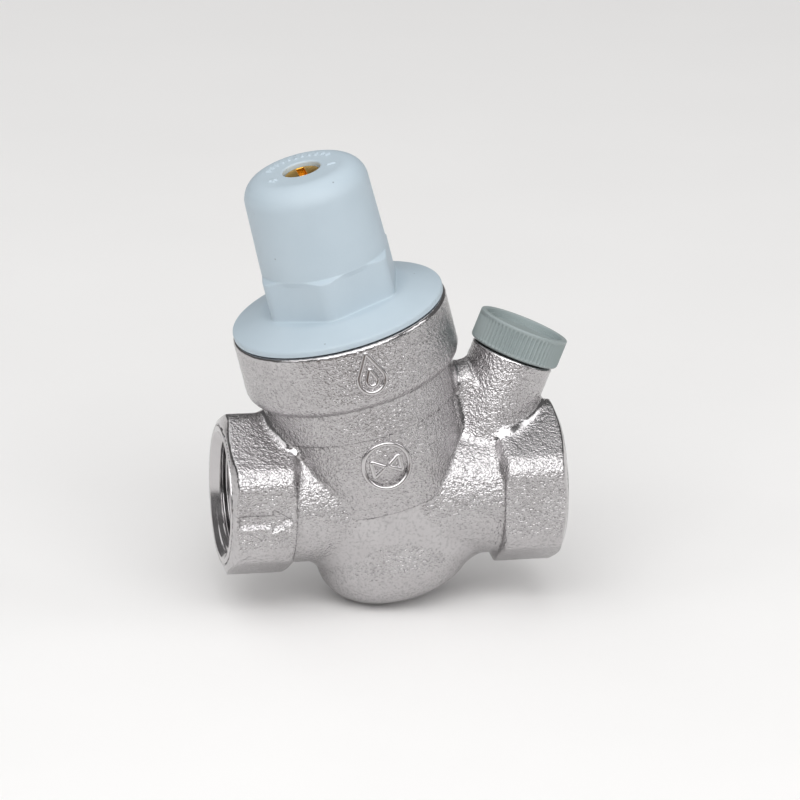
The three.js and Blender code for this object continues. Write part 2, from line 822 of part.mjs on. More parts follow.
function obturator() {
  const slot = groove(pistonRingSection, pistonRadius, pistonRingLevel);
  const sealFloor = sealBottom - gap;
  return turned([
    [0, pistonBottom],
    [pistonRadius, pistonBottom],
    [pistonRadius, slot.bottom],
    [slot.floor, slot.bottom],
    [slot.floor, slot.top],
    [pistonRadius, slot.top],
    [pistonRadius, obturatorBottom],
    [obturatorRadius, obturatorBottom],
    [obturatorRadius, obturatorTop],
    [sealOuterRadius + gap, obturatorTop],
    [sealOuterRadius + gap, sealFloor],
    [sealInnerRadius - gap, sealFloor],
    [sealInnerRadius - gap, obturatorTop],
    [stemHoleRadius, obturatorTop],
    [stemHoleRadius, stemBottom - gap],
    [0, stemBottom - gap],
  ], medium);
}

// ---------------------------------------------------------------- seat, cage and strainer

function valveSeat() {
  const slot = groove(seatRingSection, seatRadius, seatRingLevel);
  const lipRadius = seatBoreRadius + seatLipWidth;
  return turnedRing([
    [seatBoreRadius, seatLevel],
    [lipRadius, seatLevel],
    [lipRadius, cageRingBottom],
    [seatRadius, cageRingBottom],
    [seatRadius, slot.bottom],
    [slot.floor, slot.bottom],
    [slot.floor, slot.top],
    [seatRadius, slot.top],
    [seatRadius, seatTop],
    [seatBoreRadius, seatTop],
  ], medium);
}

function cartridgeCage() {
  const slot = groove(cageRingSection, cageRadius, cageRingLevel);
  const ring = turnedRing([
    [seatPocketRadius, cageRingBottom],
    [cageRadius, cageRingBottom],
    [cageRadius, slot.bottom],
    [slot.floor, slot.bottom],
    [slot.floor, slot.top],
    [cageRadius, slot.top],
    [cageRadius, cageFlangeBottom],
    [cageFlangeRadius, cageFlangeBottom],
    [cageFlangeRadius, cageTop],
    [flowBoreRadius, cageTop],
    [flowBoreRadius, seatTop + gap],
    [seatPocketRadius, seatTop + gap],
  ], medium);
  const cup = turned([
    [0, cupBottom],
    [cupRadius, cupBottom],
    [cupRadius, cupTop - cupFlangeThickness],
    [cageRadius, cupTop - cupFlangeThickness],
    [cageRadius, cupTop],
    [pistonBoreRadius, cupTop],
    [pistonBoreRadius, cupBottom + cupFloor],
    [0, cupBottom + cupFloor],
  ], medium);
  const legHeight = cageRingBottom - cupTop + bite;
  const legs = Array.from({ length: cageLegs }, (_, i) => {
    const leg = new THREE.BoxGeometry(cageLegThickness, cageLegWidth, legHeight);
    leg.translate(seatPocketRadius + cageLegThickness / 2, 0, (cageRingBottom + cupTop) / 2);
    return solid(leg.rotateZ((i + 0.5) * 2 * Math.PI / cageLegs));
  });
  return join(solid(ring), solid(cup), ...legs);
}

function strainer() {
  const tube = solid(washer(strainerRadius - strainerWall, strainerRadius,
    strainerBottom, strainerTop, medium));
  const pitch = (strainerTop - strainerBottom) / strainerRows;
  const bars = [];
  for (let row = 0; row < strainerRows; row += 1) {
    for (let bar = 0; bar < strainerBars; bar += 1) {
      const window = new THREE.BoxGeometry(3 * strainerRadius, strainerWindow, strainerWindow);
      window.rotateZ((bar + 0.5 * (row % 2)) * Math.PI / strainerBars);
      bars.push(solid(window.translate(0, 0, strainerBottom + (row + 0.5) * pitch)));
    }
  }
  return cut(tube, ...bars);
}

// ---------------------------------------------------------------- gauge plug

function gaugePlug() {
  const outline = Array.from({ length: 2 * plugRibs }, (_, i) => {
    const radius = i % 2 === 0 ? plugRadius : plugRadius - plugRibDepth;
    const angle = i * Math.PI / plugRibs;
    return [radius * Math.cos(angle), radius * Math.sin(angle)];
  });
  const ribbed = solid(prism(outline, plugBottom, plugTop));
  const head = turned([
    [0, plugBottom],
    [plugRadius - plugChamfer, plugBottom],
    [plugRadius, plugBottom + plugChamfer],
    [plugRadius, plugTop - plugTopChamfer],
    [plugRadius - plugTopChamfer, plugTop],
    [plugRecessRadius, plugTop],
    [plugRecessRadius, plugTop - plugRecessDepth],
    [plugRecessRadius - plugRecessStep, plugTop - plugRecessDepth],
    [plugRecessRadius - plugRecessStep, plugTop - plugRecessDepth - plugRecessStep],
    [0, plugTop - plugRecessDepth - plugRecessStep],
  ], medium);
  const ringRoom = washer(gaugeShankRadius, gaugeRingOuter + gap,
    plugBottom - past, gaugeRingTop + gap, medium);
  const shank = rod(gaugeShankRadius, plugBottom - plugShankLength, plugBottom + bite, coarse);
  return join(cut(ribbed.intersect(solid(head)), solid(ringRoom)), solid(shank));
}

// ---------------------------------------------------------------- assembly

const finishes = {
  platedBrass: { color: 0xb9b6b3, roughness: 0.32, metalness: 1 },
  brass: { color: 0xc9a227, roughness: 0.3, metalness: 1 },
  steel: { color: 0xc4c7cb, roughness: 0.25, metalness: 1 },
  springSteel: { color: 0x8d9196, roughness: 0.35, metalness: 1 },
  paleNylon: { color: 0xbccbd5, roughness: 0.55, metalness: 0 },
  greyNylon: { color: 0x9ca5a2, roughness: 0.5, metalness: 0 },
  acetal: { color: 0xe6e4dc, roughness: 0.45, metalness: 0 },
  rubber: { color: 0x1d1d1f, roughness: 0.8, metalness: 0 },
};

// Turns a closed geometry's faces outwards.
function outward(geometry) {
  if (signedVolume(geometry) < 0) geometry.setIndex(Array.from(geometry.index.array).reverse());
  return geometry;
}

function named(name, shape, finish) {
  const geometry = shape instanceof wasm.Manifold ? geometryOf(shape) : outward(weld(shape));
  const mesh = new THREE.Mesh(geometry, new THREE.MeshStandardMaterial(finishes[finish]));
  mesh.name = name;
  return mesh;
}

const slipRing = washer(skirtInnerRadius + gap, diaphragmRadius, slipRingBottom,
  slipRingBottom + slipRingThickness, fine);
const backingPlate = washer(stemHoleRadius, backingRadius, backingBottom, backingTop, medium);
const obturatorSeal = washer(sealInnerRadius, sealOuterRadius, sealBottom, sealTop, medium);
const retainer = washer(stemHoleRadius, retainerRadius, retainerBottom,
  retainerBottom + retainerThickness, medium);

const cartridge = new THREE.Group();
cartridge.applyMatrix4(barrelFrame);
cartridge.add(
  named('bonnet', bonnet(), 'paleNylon'),
  named('adjusting_screw', adjustingScrew(), 'brass'),
  named('upper_spring_plate', upperSpringPlate(), 'steel'),
  named('main_spring', mainSpring(), 'springSteel'),
  named('lower_spring_plate', lowerSpringPlate(), 'steel'),
  named('slip_ring', slipRing, 'steel'),
  named('diaphragm', diaphragm(), 'rubber'),
  named('diaphragm_backing_plate', backingPlate, 'brass'),
  named('stem_nut', stemNut(), 'brass'),
  named('control_stem', stem(), 'brass'),
  named('seal_retaining_washer', retainer, 'brass'),
  named('obturator_seal', obturatorSeal, 'rubber'),
  named('obturator', obturator(), 'brass'),
  named('piston_o_ring', rubberRing(pistonRingSection, pistonRadius, pistonRingLevel), 'rubber'),
  named('valve_seat', valveSeat(), 'steel'),
  named('seat_o_ring', rubberRing(seatRingSection, seatRadius, seatRingLevel), 'rubber'),
  named('cartridge_cage', cartridgeCage(), 'acetal'),
  named('cage_o_ring', rubberRing(cageRingSection, cageRadius, cageRingLevel), 'rubber'),
  named('strainer', strainer(), 'steel'),
);

const gaugePort = new THREE.Group();
gaugePort.applyMatrix4(gaugeFrame);
const gaugeRingLevel = (gaugeRingBottom + gaugeRingTop) / 2;
gaugePort.add(
  named('gauge_plug', gaugePlug(), 'greyNylon'),
  named('gauge_plug_seal', rubberRing(gaugeRingSection, gaugeRingOuter, gaugeRingLevel), 'rubber'),
);

const valve = new THREE.Group();
valve.add(named('valve_body', valveBody(), 'platedBrass'), cartridge, gaugePort);

export default valve;
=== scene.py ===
# %% [markdown]
# # A pressure reducing valve, part by part
# The valve is a hot-forged brass body, blasted and nickel plated, with a moulded bonnet screwed
# into its leaning barrel and a small ribbed plug in its gauge port. The working model fixes where
# everything is and how it moves, so it is loaded first and nothing in it is ever moved. What is
# made here are the fine surfaces and the finishes.

# %% Load the working model
import json
import math

import bmesh
import bpy
import numpy as np
from mathutils import Matrix, Vector

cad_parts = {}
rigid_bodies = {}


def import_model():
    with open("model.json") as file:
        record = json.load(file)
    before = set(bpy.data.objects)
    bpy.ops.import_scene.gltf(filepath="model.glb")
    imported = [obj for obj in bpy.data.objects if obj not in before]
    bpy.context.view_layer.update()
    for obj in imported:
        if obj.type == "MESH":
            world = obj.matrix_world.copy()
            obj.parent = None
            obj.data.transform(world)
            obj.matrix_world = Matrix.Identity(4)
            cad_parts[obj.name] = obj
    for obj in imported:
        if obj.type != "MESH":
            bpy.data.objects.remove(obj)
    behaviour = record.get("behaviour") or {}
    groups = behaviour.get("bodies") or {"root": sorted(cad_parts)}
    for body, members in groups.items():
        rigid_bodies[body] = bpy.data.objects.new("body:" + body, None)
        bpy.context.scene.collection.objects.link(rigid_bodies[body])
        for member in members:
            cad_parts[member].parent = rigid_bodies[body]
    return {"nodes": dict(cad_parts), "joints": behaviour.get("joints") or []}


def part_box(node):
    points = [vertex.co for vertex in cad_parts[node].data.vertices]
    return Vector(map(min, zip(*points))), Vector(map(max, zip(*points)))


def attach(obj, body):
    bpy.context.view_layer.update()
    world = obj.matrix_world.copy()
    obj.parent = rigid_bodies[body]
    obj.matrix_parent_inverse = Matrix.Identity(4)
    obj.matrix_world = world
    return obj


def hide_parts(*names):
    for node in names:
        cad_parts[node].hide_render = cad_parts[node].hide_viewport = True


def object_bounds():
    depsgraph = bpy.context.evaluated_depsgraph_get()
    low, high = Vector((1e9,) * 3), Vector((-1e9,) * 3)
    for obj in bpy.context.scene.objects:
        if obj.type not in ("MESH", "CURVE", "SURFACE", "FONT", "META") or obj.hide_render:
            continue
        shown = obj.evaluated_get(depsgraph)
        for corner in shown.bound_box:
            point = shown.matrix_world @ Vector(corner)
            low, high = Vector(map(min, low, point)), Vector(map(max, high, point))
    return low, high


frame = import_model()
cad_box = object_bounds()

print("box of the working model, m:", [round(v, 4) for corner in cad_box for v in corner])

# %% [markdown]
# ## Where the pieces stand
# All shapes below are worked out in millimetres and turned into metres when a mesh is made. The
# bonnet and the gauge plug are screwed in along leaning axes, and those axes are read from the
# joints, so the fine pieces sit exactly where the working ones do. A stand is such an axis with a
# foot and two cross directions.

# %% Leaning axes
MM = 0.001
TURN = 2 * math.pi


class Stand:
    """A leaning axis: points can be measured along it, or put in place from (x, y, height)."""

    def __init__(self, foot, along):
        self.foot = np.array(foot, float)
        self.along = np.array(along, float) / np.linalg.norm(along)
        front = np.array([1.0, 0.0, 0.0])
        front -= self.along * (front @ self.along)
        self.front = front / np.linalg.norm(front)
        self.side = np.cross(self.along, self.front)

    def measure(self, points):
        """Splits points into x, y across the axis and the height along it."""
        rest = points - self.foot.astype(points.dtype)
        return [rest @ way.astype(points.dtype) for way in (self.front, self.side, self.along)]

    def place(self, x, y, height):
        """The reverse of measure."""
        x, y, height = np.broadcast_arrays(x, y, height)
        return (self.foot + x[..., None] * self.front + y[..., None] * self.side
                + height[..., None] * self.along)


joints = {joint["name"]: joint for joint in frame["joints"]}


def stand_of(hinge):
    return Stand(np.array(joints[hinge]["pos_m"]) / MM, joints[hinge]["axis"])


def travel_of(slide):
    """How far a sliding joint can go from where it rests, in mm."""
    return joints[slide]["range_m"][1] / MM


barrel = stand_of("bonnet_turn")
gauge = stand_of("plug_turn")
bonnet_turns = joints["bonnet_turn"]["range_deg"][1] / 360
plug_turns = joints["plug_turn"]["range_deg"][1] / 360
bonnet_pitch = travel_of("bonnet_lift") / bonnet_turns
plug_pitch = travel_of("plug_lift") / plug_turns
print(f"the barrel leans {math.degrees(math.acos(barrel.along[2])):.1f} degrees, "
      f"the gauge port {math.degrees(math.acos(gauge.along[2])):.1f}")
print(f"threads: bonnet {bonnet_pitch:.2f} mm, plug {plug_pitch:.3f} mm per turn")

# %% [markdown]
# ## Meshes from grids
# Most pieces are turned on a lathe or moulded round an axis, so their surface is a grid: rows
# run along the outline, columns run round the axis. numpy works out the whole grid at once. An
# outline that closes on itself gives a ring without poles. Where an outline starts and ends on the
# axis, the row there has one place, and merging its points closes the pole.

# %% Mesh helpers


def add_piece(name, points, faces, body):
    """A new object whose vertices are the points, given in mm, riding on a body of the frame."""
    mesh = bpy.data.meshes.new(name)
    mesh.from_pydata((np.asarray(points) * MM).tolist(), [], np.asarray(faces).tolist())
    work = bmesh.new()
    work.from_mesh(mesh)
    bmesh.ops.remove_doubles(work, verts=work.verts, dist=1e-7)
    bmesh.ops.dissolve_degenerate(work, edges=work.edges, dist=1e-7)
    bmesh.ops.recalc_face_normals(work, faces=work.faces)
    work.to_mesh(mesh)
    work.free()
    mesh.shade_smooth()
    piece = bpy.data.objects.new(name, mesh)
    bpy.context.scene.collection.objects.link(piece)
    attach(piece, body)
    print(f"{name}: {len(mesh.vertices)} points, {len(mesh.polygons)} faces")
    return piece


def grid_faces(rows, columns, closed_rows):
    """Quads between neighbouring rows and columns; the columns always close on themselves."""
    last = rows if closed_rows else rows - 1
    row, column = np.meshgrid(np.arange(last), np.arange(columns), indexing="ij")
    above, beside = (row + 1) % rows, (column + 1) % columns
    corners = [(row, column), (row, beside), (above, beside), (above, column)]
    return np.stack([r * columns + c for r, c in corners], -1).reshape(-1, 4)


def sharpen(piece, angle):
    """Marks edges that fold by more than the angle, so that smooth shading stops at them."""
    piece.data.set_sharp_from_angle(angle=math.radians(angle))


def bend(centre, radius, start, end, steps):
    """Outline points on an arc: the centre plus the radius at angles from start to end."""
    angles = np.radians(np.linspace(start, end, steps + 1))
    return [(centre[0] + radius * math.cos(a), centre[1] + radius * math.sin(a)) for a in angles]


def run(start, end, steps):
    """Outline points on a straight line, without its last point."""
    return [tuple(p) for p in np.linspace(start, end, steps, endpoint=False)]


def thread_wave(height, angle, pitch):
    """0 at a thread's crest and 1 at its root: a rounded wave that climbs one pitch a turn."""
    return 0.5 - 0.5 * np.cos(TURN * (height / pitch - angle / TURN))


print("an arc in 6 steps has", len(bend((0, 0), 1, 0, 90, 6)), "points")

# %% [markdown]
# ## The forged body
# A forging is many simple shapes that flow into one another: a leaning drum, a bulge, two
# hexagons, two necks and a boss. A grid can't follow that, so the body is described by distance
# instead. A function says for any point how far it is outside (above zero) or inside (below zero).
# Shapes join by taking the smaller distance and cut by taking the larger, and near an edge the
# two are mixed over a circle, which is exactly the fillet that a forging die leaves.

# %% Distances and fillets


def overlap(a, b, radius):
    """What two shapes share; the edge where they meet is rounded to a circle of that radius."""
    return np.minimum(-radius, np.maximum(a, b)) + np.hypot(
        np.maximum(a + radius, 0), np.maximum(b + radius, 0))


def union(a, b, radius):
    """Two shapes joined; the corner where they meet is filled with a fillet of that radius."""
    return np.maximum(radius, np.minimum(a, b)) - np.hypot(
        np.maximum(radius - a, 0), np.maximum(radius - b, 0))


print(f"a 1 mm fillet fills its corner by {-union(0.0, 0.0, 1.0):.2f} mm")

# %% [markdown]
# The sizes of the body. The pipe run is along X and its middle is the origin; heights of the
# barrel are measured along its own axis.

# %% Sizes of the body
half_length = frame["nodes"]["valve_body"].dimensions.x / MM / 2
hex_length = 14.6
hex_flat = 17.0                    # from the axis to a flat
hex_bevel = 18.58                  # from the axis to the bevel on each long edge
end_cone = math.radians(25)
face_radius = 15.35
inner_face_radius = 17.2
neck_radius = 15.8
socket_depth = 14.0

rim_level = 42.9
collar_radius, collar_bottom, collar_rounding = 24.2, 28.0, 3.0
shoulder_radius, shoulder_bottom = 21.3, 20.1
barrel_radius = 20.5
taper_level, taper = 12.0, 0.19
waist_level = 0.3
bulge_radius, bulge_flatness, bulge_offset = 18.0, 0.87, -1.0
bulge_bottom, bulge_rounding = -24.6, 10.5

boss_radius, boss_top, boss_root = 9.4, 19.9, -4.0
web_reach, web_half, web_top = 25.0, 4.5, 23.5
web_draft = math.radians(9)

wall = 3.0
thread_bore, upper_bore, cage_bore = 21.0, 16.0, 11.2
ledge_level, web_level, web_floor = 30.5, 8.0, 1.7
well_radius, well_bottom = 11.5, -9.6
chamber_top = -4.0
post_radius, post_top = 5.0, -17.8
passage_radius = 6.0
passages = [((-25, 0, -3), (-8, 0, -11)), ((25, 0, 4.5), (10, 0, 15))]
gauge_bore, gauge_bore_depth, gauge_passage = 6.6, 11.0, 2.5
print(f"face to face {2 * half_length:.1f} mm, hexagon {2 * hex_flat:.0f} mm across flats")

# %% [markdown]
# The flow arrow is pressed into the front flat of the inlet hexagon. Its outline is a distance
# too, in the plane of the flat, and the flat sinks where that distance is below zero.

# %% Flow arrow
arrow_tail, arrow_tip, arrow_level = -36.5, -24.1, -0.5
arrow_half_shaft, arrow_half_head, arrow_head = 1.55, 3.1, 5.0
arrow_depth, arrow_wall = 0.75, 2.2          # the wall drops this much for each mm inwards


def arrow_press(x, z):
    """How deep the arrow is pressed: a bar joined to a triangle, with sloping sides."""
    across = np.abs(z - arrow_level)
    neck = arrow_tip - arrow_head
    bar = np.maximum(np.maximum(arrow_tail - x, x - neck - 1), across - arrow_half_shaft)
    slope = arrow_half_head / arrow_head
    tip = (across + (x - arrow_tip) * slope) / math.hypot(1, slope)
    head = np.maximum(tip, neck - x)
    return np.clip(-arrow_wall * np.minimum(bar, head), 0, arrow_depth)

print(f"arrow: {arrow_tip - arrow_tail:.1f} mm long, pressed {arrow_depth} mm deep")

# %% [markdown]
# Each outer shape is its own distance function. On the real valve they are one piece of brass,
# and the die's fillets are wide where the metal had to flow and tight where two halves meet. So
# the shapes are joined one after another, each time with the fillet that belongs there.

# %% The outside of the forging


def hexagons(p):
    """Both port hexagons: three pairs of flats, bevelled long edges and coned ends."""
    x, y, z = p.T
    reach, radius = np.abs(x), np.hypot(y, z)
    turns = np.radians([0, 60, 120])
    flats = [np.abs(y * math.cos(a) + z * math.sin(a)) for a in turns]
    corners = [np.abs(y * math.cos(a + TURN / 12) + z * math.sin(a + TURN / 12)) for a in turns]
    press = np.where((x < 0) & (y < 0), arrow_press(x, z), 0)
    flat = np.maximum.reduce([flats[0] + press, flats[1], flats[2]]) - hex_flat
    prism = overlap(flat, np.maximum.reduce(corners) - hex_bevel, 0.5)
    inner_end = half_length - hex_length
    outer = (reach - half_length) * math.cos(end_cone) + (radius - face_radius) * math.sin(end_cone)
    inner = (inner_end - reach) * math.cos(end_cone) + (radius - inner_face_radius) * math.sin(end_cone)
    block = np.maximum(overlap(prism, outer, 0.25), reach - half_length)
    return overlap(block, np.maximum(inner, inner_end - reach), 0.6)


def barrel_column(p):
    """The leaning drum: a tapered barrel, a slightly wider shoulder and the collar on top."""
    x, y, h = barrel.measure(p)
    radius = np.hypot(x, y)
    narrowed = barrel_radius - taper * np.maximum(taper_level - h, 0)
    drum = overlap(radius - narrowed, waist_level - h, 0.9)
    shoulder = overlap(radius - shoulder_radius, shoulder_bottom - h, 0.3)
    collar = overlap(radius - collar_radius, collar_bottom - h, collar_rounding)
    rim = 0.894 * (radius - collar_radius) + 0.447 * (h - rim_level + 0.7)
    column = union(union(drum, shoulder, 0.12), collar, 1.0)
    return np.maximum(np.maximum(column, rim), h - rim_level)


def lower_bulge(p):
    """The egg-shaped chamber below the run: an oval drum with a very round bottom."""
    x, y, h = barrel.measure(p)
    oval = (np.hypot(x - bulge_offset, y / bulge_flatness) - bulge_radius) * 0.95
    return np.maximum(overlap(oval, bulge_bottom - h, bulge_rounding), h - 4)


def gauge_web(p):
    """The web in the fork between the barrel and the gauge boss, thicker towards its foot."""
    x, y, h = barrel.measure(p)
    cheek = (np.abs(y) - web_half) * math.cos(web_draft) + (h - web_top) * math.sin(web_draft)
    block = overlap(cheek, h - web_top, 3)
    return np.maximum(block, np.maximum(x - web_reach, np.maximum(-x, -h)))


def gauge_boss(p):
    x, y, s = gauge.measure(p)
    return np.maximum(overlap(np.hypot(x, y) - boss_radius, s - boss_top, 0.45), boss_root - s)


def run_neck(p):
    """The round neck along the pipe run, as far as into both hexagons."""
    reach, radius = np.abs(p[:, 0]), np.hypot(p[:, 1], p[:, 2])
    return np.maximum(radius - neck_radius, reach - half_length + hex_length - 1)


def forged_outside(p):
    """All outer shapes joined, each corner with the fillet that the forging has there."""
    below = union(lower_bulge(p), run_neck(p), 3.0)
    trunk = union(barrel_column(p), below, 0.25)
    trunk = union(trunk, gauge_web(p), 2.4)
    trunk = union(trunk, gauge_boss(p), 0.9)
    high = np.clip((p[:, 2] - 4) / 6, 0, 1)
    return union(trunk, hexagons(p), 0.5 + 2.0 * high)


print(f"the middle of the run is {-forged_outside(np.zeros((1, 3)))[0]:.1f} mm under the skin")

# %% [markdown]
# The inside is machined and cast to the same sizes as the working model, so the cartridge, the
# strainer and the spring still fit. Only the threads are left out here: they are finer than
# this mesh and are made as their own rings.

# %% The hollows


def drum_between(radius, height, bore, bottom, top):
    return np.maximum(radius - bore, np.maximum(bottom - height, height - top))


def passage(p, start, end):
    """A round hole between two points: distance from its middle line, less its radius."""
    start, way = np.array(start, float), np.subtract(end, start)
    share = np.clip((p - start) @ way / (way @ way), 0, 1)
    away = p - start - share[:, None] * way
    return np.sqrt((away ** 2).sum(1)) - passage_radius


def hollows(p):
    x, y, h = barrel.measure(p)
    radius = np.hypot(x, y)
    oval = (np.hypot(x - bulge_offset, y / bulge_flatness) - bulge_radius) * 0.95 + wall
    chamber = overlap(oval, bulge_bottom + wall - h, bulge_rounding - wall)
    chamber = np.maximum(np.maximum(chamber, h - chamber_top),
                         -drum_between(radius, h, post_radius, bulge_bottom, post_top))
    gx, gy, s = gauge.measure(p)
    gr = np.hypot(gx, gy)
    reach, run_radius = np.abs(p[:, 0]), np.hypot(p[:, 1], p[:, 2])
    return np.minimum.reduce([
        drum_between(radius, h, cage_bore, web_floor, web_level + 1),
        drum_between(radius, h, upper_bore, web_level, ledge_level + 1),
        drum_between(radius, h, thread_bore, ledge_level, rim_level + 2),
        drum_between(radius, h, well_radius, well_bottom, web_floor + 0.5),
        chamber,
        *[passage(p, *ends) for ends in passages],
        drum_between(gr, s, gauge_passage, 0, boss_top),
        drum_between(gr, s, gauge_bore, boss_top - gauge_bore_depth, boss_top + 2),
        drum_between(run_radius, reach, face_radius, half_length - socket_depth, half_length + 2),
    ])


def body_shape(p):
    return np.maximum(forged_outside(p), -hollows(p))


print(f"{len(passages)} passages of {2 * passage_radius:.0f} mm; the wall is {wall:.0f} mm")

# %% [markdown]
# ## From distances to a mesh
# The function is sampled on a grid of half a millimetre. Wherever neighbouring samples have
# different signs, the surface passes between them. Each cell with such an edge gets one point, at
# the mean of its crossings, and each crossed edge gets one quad between its four cells. The points
# are then slid onto the true surface, along the steepest way, so that flats come out flat.

# %% Surface from a distance function


def net(field, low, step):
    """Surface nets: (points, quads) of the surface where a sampled field is zero."""
    cells = np.array(field.shape) - 1
    strides = np.array([cells[1] * cells[2], cells[2], 1])
    rings, places = [], []
    for axis in range(3):
        start = field[tuple(slice(0, -1) if d == axis else slice(None) for d in range(3))]
        end = field[tuple(slice(1, None) if d == axis else slice(None) for d in range(3))]
        at = np.argwhere((start < 0) != (end < 0))
        before, after = start[tuple(at.T)], end[tuple(at.T)]
        place = at.astype(float)
        place[:, axis] += before / (before - after)
        u, v = np.eye(3, dtype=int)[(axis + 1) % 3], np.eye(3, dtype=int)[(axis + 2) % 3]
        ring = np.stack([at, at - u, at - u - v, at - v], 1) @ strides
        ring[before > 0] = ring[before > 0][:, ::-1]
        rings.append(ring)
        places.append(np.repeat(place, 4, axis=0))
    corner_cells, places = np.concatenate(rings).ravel(), np.concatenate(places)
    _, corner = np.unique(corner_cells, return_inverse=True)
    count = np.bincount(corner)
    points = np.stack([np.bincount(corner, places[:, d]) / count for d in range(3)], -1)
    return low + step * points, corner.reshape(-1, 4)


def slopes(points, shape, nudge=0.02):
    """The way in which the distance grows fastest, from six samples round each point."""
    ways = np.eye(3) * nudge
    rise = [shape(points + way) - shape(points - way) for way in ways]
    return np.stack(rise, -1) / (2 * nudge)


def settle(points, shape, reach, rounds=4):
    """Slides points onto the surface: each step is the distance divided by its slope."""
    for _ in range(rounds):
        slope = slopes(points, shape)
        step = shape(points) / np.maximum((slope ** 2).sum(1), 0.3)
        points = points - slope * np.clip(step, -reach, reach)[:, None]
    return points


def carve(shape, low, high, step):
    """(points, quads) of a distance function between two corners of a box."""
    low = np.array(low, float)
    axes = [np.arange(a - step, b + 2 * step, step, np.float32) for a, b in zip(low, high)]
    samples = np.stack(np.meshgrid(*axes, indexing="ij"), -1).reshape(-1, 3)
    field = shape(samples).reshape([len(axis) for axis in axes])
    points, quads = net(field, low - step, step)
    return settle(points, shape, step / 2), quads


body_step = 0.5
low, high = (np.array(corner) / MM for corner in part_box("valve_body"))
body_points, body_quads = carve(body_shape, low, high, body_step)
print(f"body: {len(body_quads)} quads at a step of {body_step} mm")

# %% [markdown]
# ## The blasted skin
# Blasting leaves the forged skin pebbled. Rims, faces and bores that are turned afterwards are
# smooth, and so are the deep fillets, which the shot hardly reaches. So each point gets a number
# from 0, pebbled, to 1, smooth. A fillet is where the surface stands clear of every one of the
# shapes that it joins.

# %% Smooth or pebbled
turned_band = 1.0                  # height of the turned edge on the collar's rim
skin_sink = 0.06                   # keeps the tops of the pebbles within the working model's box


def smooth_share(p):
    """1 on turned surfaces and in fillets and 0 on the pebbled skin, softly mixed between them."""
    x, y, h = barrel.measure(p)
    gx, gy, s = gauge.measure(p)
    reach, radius = np.abs(p[:, 0]), np.hypot(p[:, 1], p[:, 2])
    cone = (reach - half_length) * math.cos(end_cone) + (radius - face_radius) * math.sin(end_cone)
    joined = np.minimum.reduce(
        [barrel_column(p), hexagons(p), gauge_web(p), gauge_boss(p), lower_bulge(p), run_neck(p)])
    shares = [
        (h - rim_level + turned_band) / 0.2,
        np.minimum((s - boss_top + 0.75) / 0.3, boss_radius + 1 - np.hypot(gx, gy)),
        np.minimum((cone + 0.25) / 0.2, hex_bevel + 2 - radius),
        (np.abs(forged_outside(p)) - np.abs(hollows(p))) / 0.3,
        (joined - 0.14) / 0.3,
    ]
    return np.clip(np.maximum.reduce(shares), 0, 1)


def pebbles(p, size, waves, seed):
    """A random field of that wavelength in mm: a sum of cosine waves in random directions."""
    chance = np.random.default_rng(seed)
    ways = chance.normal(size=(3, waves))
    ways *= TURN / size / np.linalg.norm(ways, axis=0) * chance.uniform(0.75, 1.3, waves)
    total = np.cos(p @ ways + chance.uniform(0, TURN, waves)).sum(1)
    return total / math.sqrt(waves / 2)


smooth = smooth_share(body_points)
way_out = slopes(body_points, body_shape)
way_out /= np.maximum(np.linalg.norm(way_out, axis=1), 0.1)[:, None]
skin = 0.018 * pebbles(body_points, 1.7, 80, seed=4) + 0.010 * pebbles(body_points, 4.5, 40, seed=9)
body_points += way_out * ((skin - skin_sink) * (1 - smooth))[:, None]

body = add_piece("forged_body", body_points, body_quads, "housing")
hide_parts("valve_body")
print(f"smooth share of the body's points: {smooth.mean():.2f}")

# %% [markdown]
# ## Port threads
# Each port has a G 3/4 thread, 14 turns to the inch. Its outline runs down the turned face, over
# the countersink and along the thread, and closes round the back, where the body hides it. In
# the threaded stretch the radius is a rounded wave that climbs one pitch a turn, so one grid
# holds the whole helix.

# %% Threaded rings in the ports
port_pitch = 25.4 / 14
port_major, port_depth = 13.22, 1.16
mouth_radius, mouth_depth = 14.3, 1.05
port_columns = 128


def port_thread(name, way):
    """A ring for one port; way is +1 for the outlet and -1 for the inlet."""
    angle = np.arange(port_columns) / port_columns * TURN
    bottom = half_length - socket_depth + 0.02
    depth = np.linspace(half_length, bottom, 110)[:, None]
    wave = port_major - port_depth * (1 - thread_wave(depth, angle, port_pitch))
    mouth = mouth_radius - (half_length - depth) * (mouth_radius - port_major) / mouth_depth
    bore = np.maximum(wave, mouth)
    outer = face_radius - 0.01
    edge = np.array([[outer - 2, bottom], [outer, bottom], [outer, half_length - 0.3],
                     [outer, half_length - 0.06], [outer - 0.06, half_length],
                     [mouth_radius + 0.1, half_length]])
    radius = np.vstack([bore, np.repeat(edge[:, :1], port_columns, 1)])
    reach = np.vstack([np.repeat(depth, port_columns, 1), np.repeat(edge[:, 1:], port_columns, 1)])
    points = np.stack([way * reach, radius * np.cos(angle), radius * np.sin(angle)], -1)
    faces = grid_faces(len(points), port_columns, closed_rows=True)
    piece = add_piece(name, points.reshape(-1, 3), faces, "housing")
    sharpen(piece, 50)
    return piece


port_threads = [port_thread("inlet_thread", -1), port_thread("outlet_thread", 1)]

# %% [markdown]
# ## Cast marks
# The collar and the barrel carry raised marks. Each is a line of half-round section carried along
# a closed path, and the path is wrapped on the drum that it stands on. A drop and two facing
# triangles, the drawing sign for a valve, are used here because they belong to no maker.

# %% Raised lines on the barrel


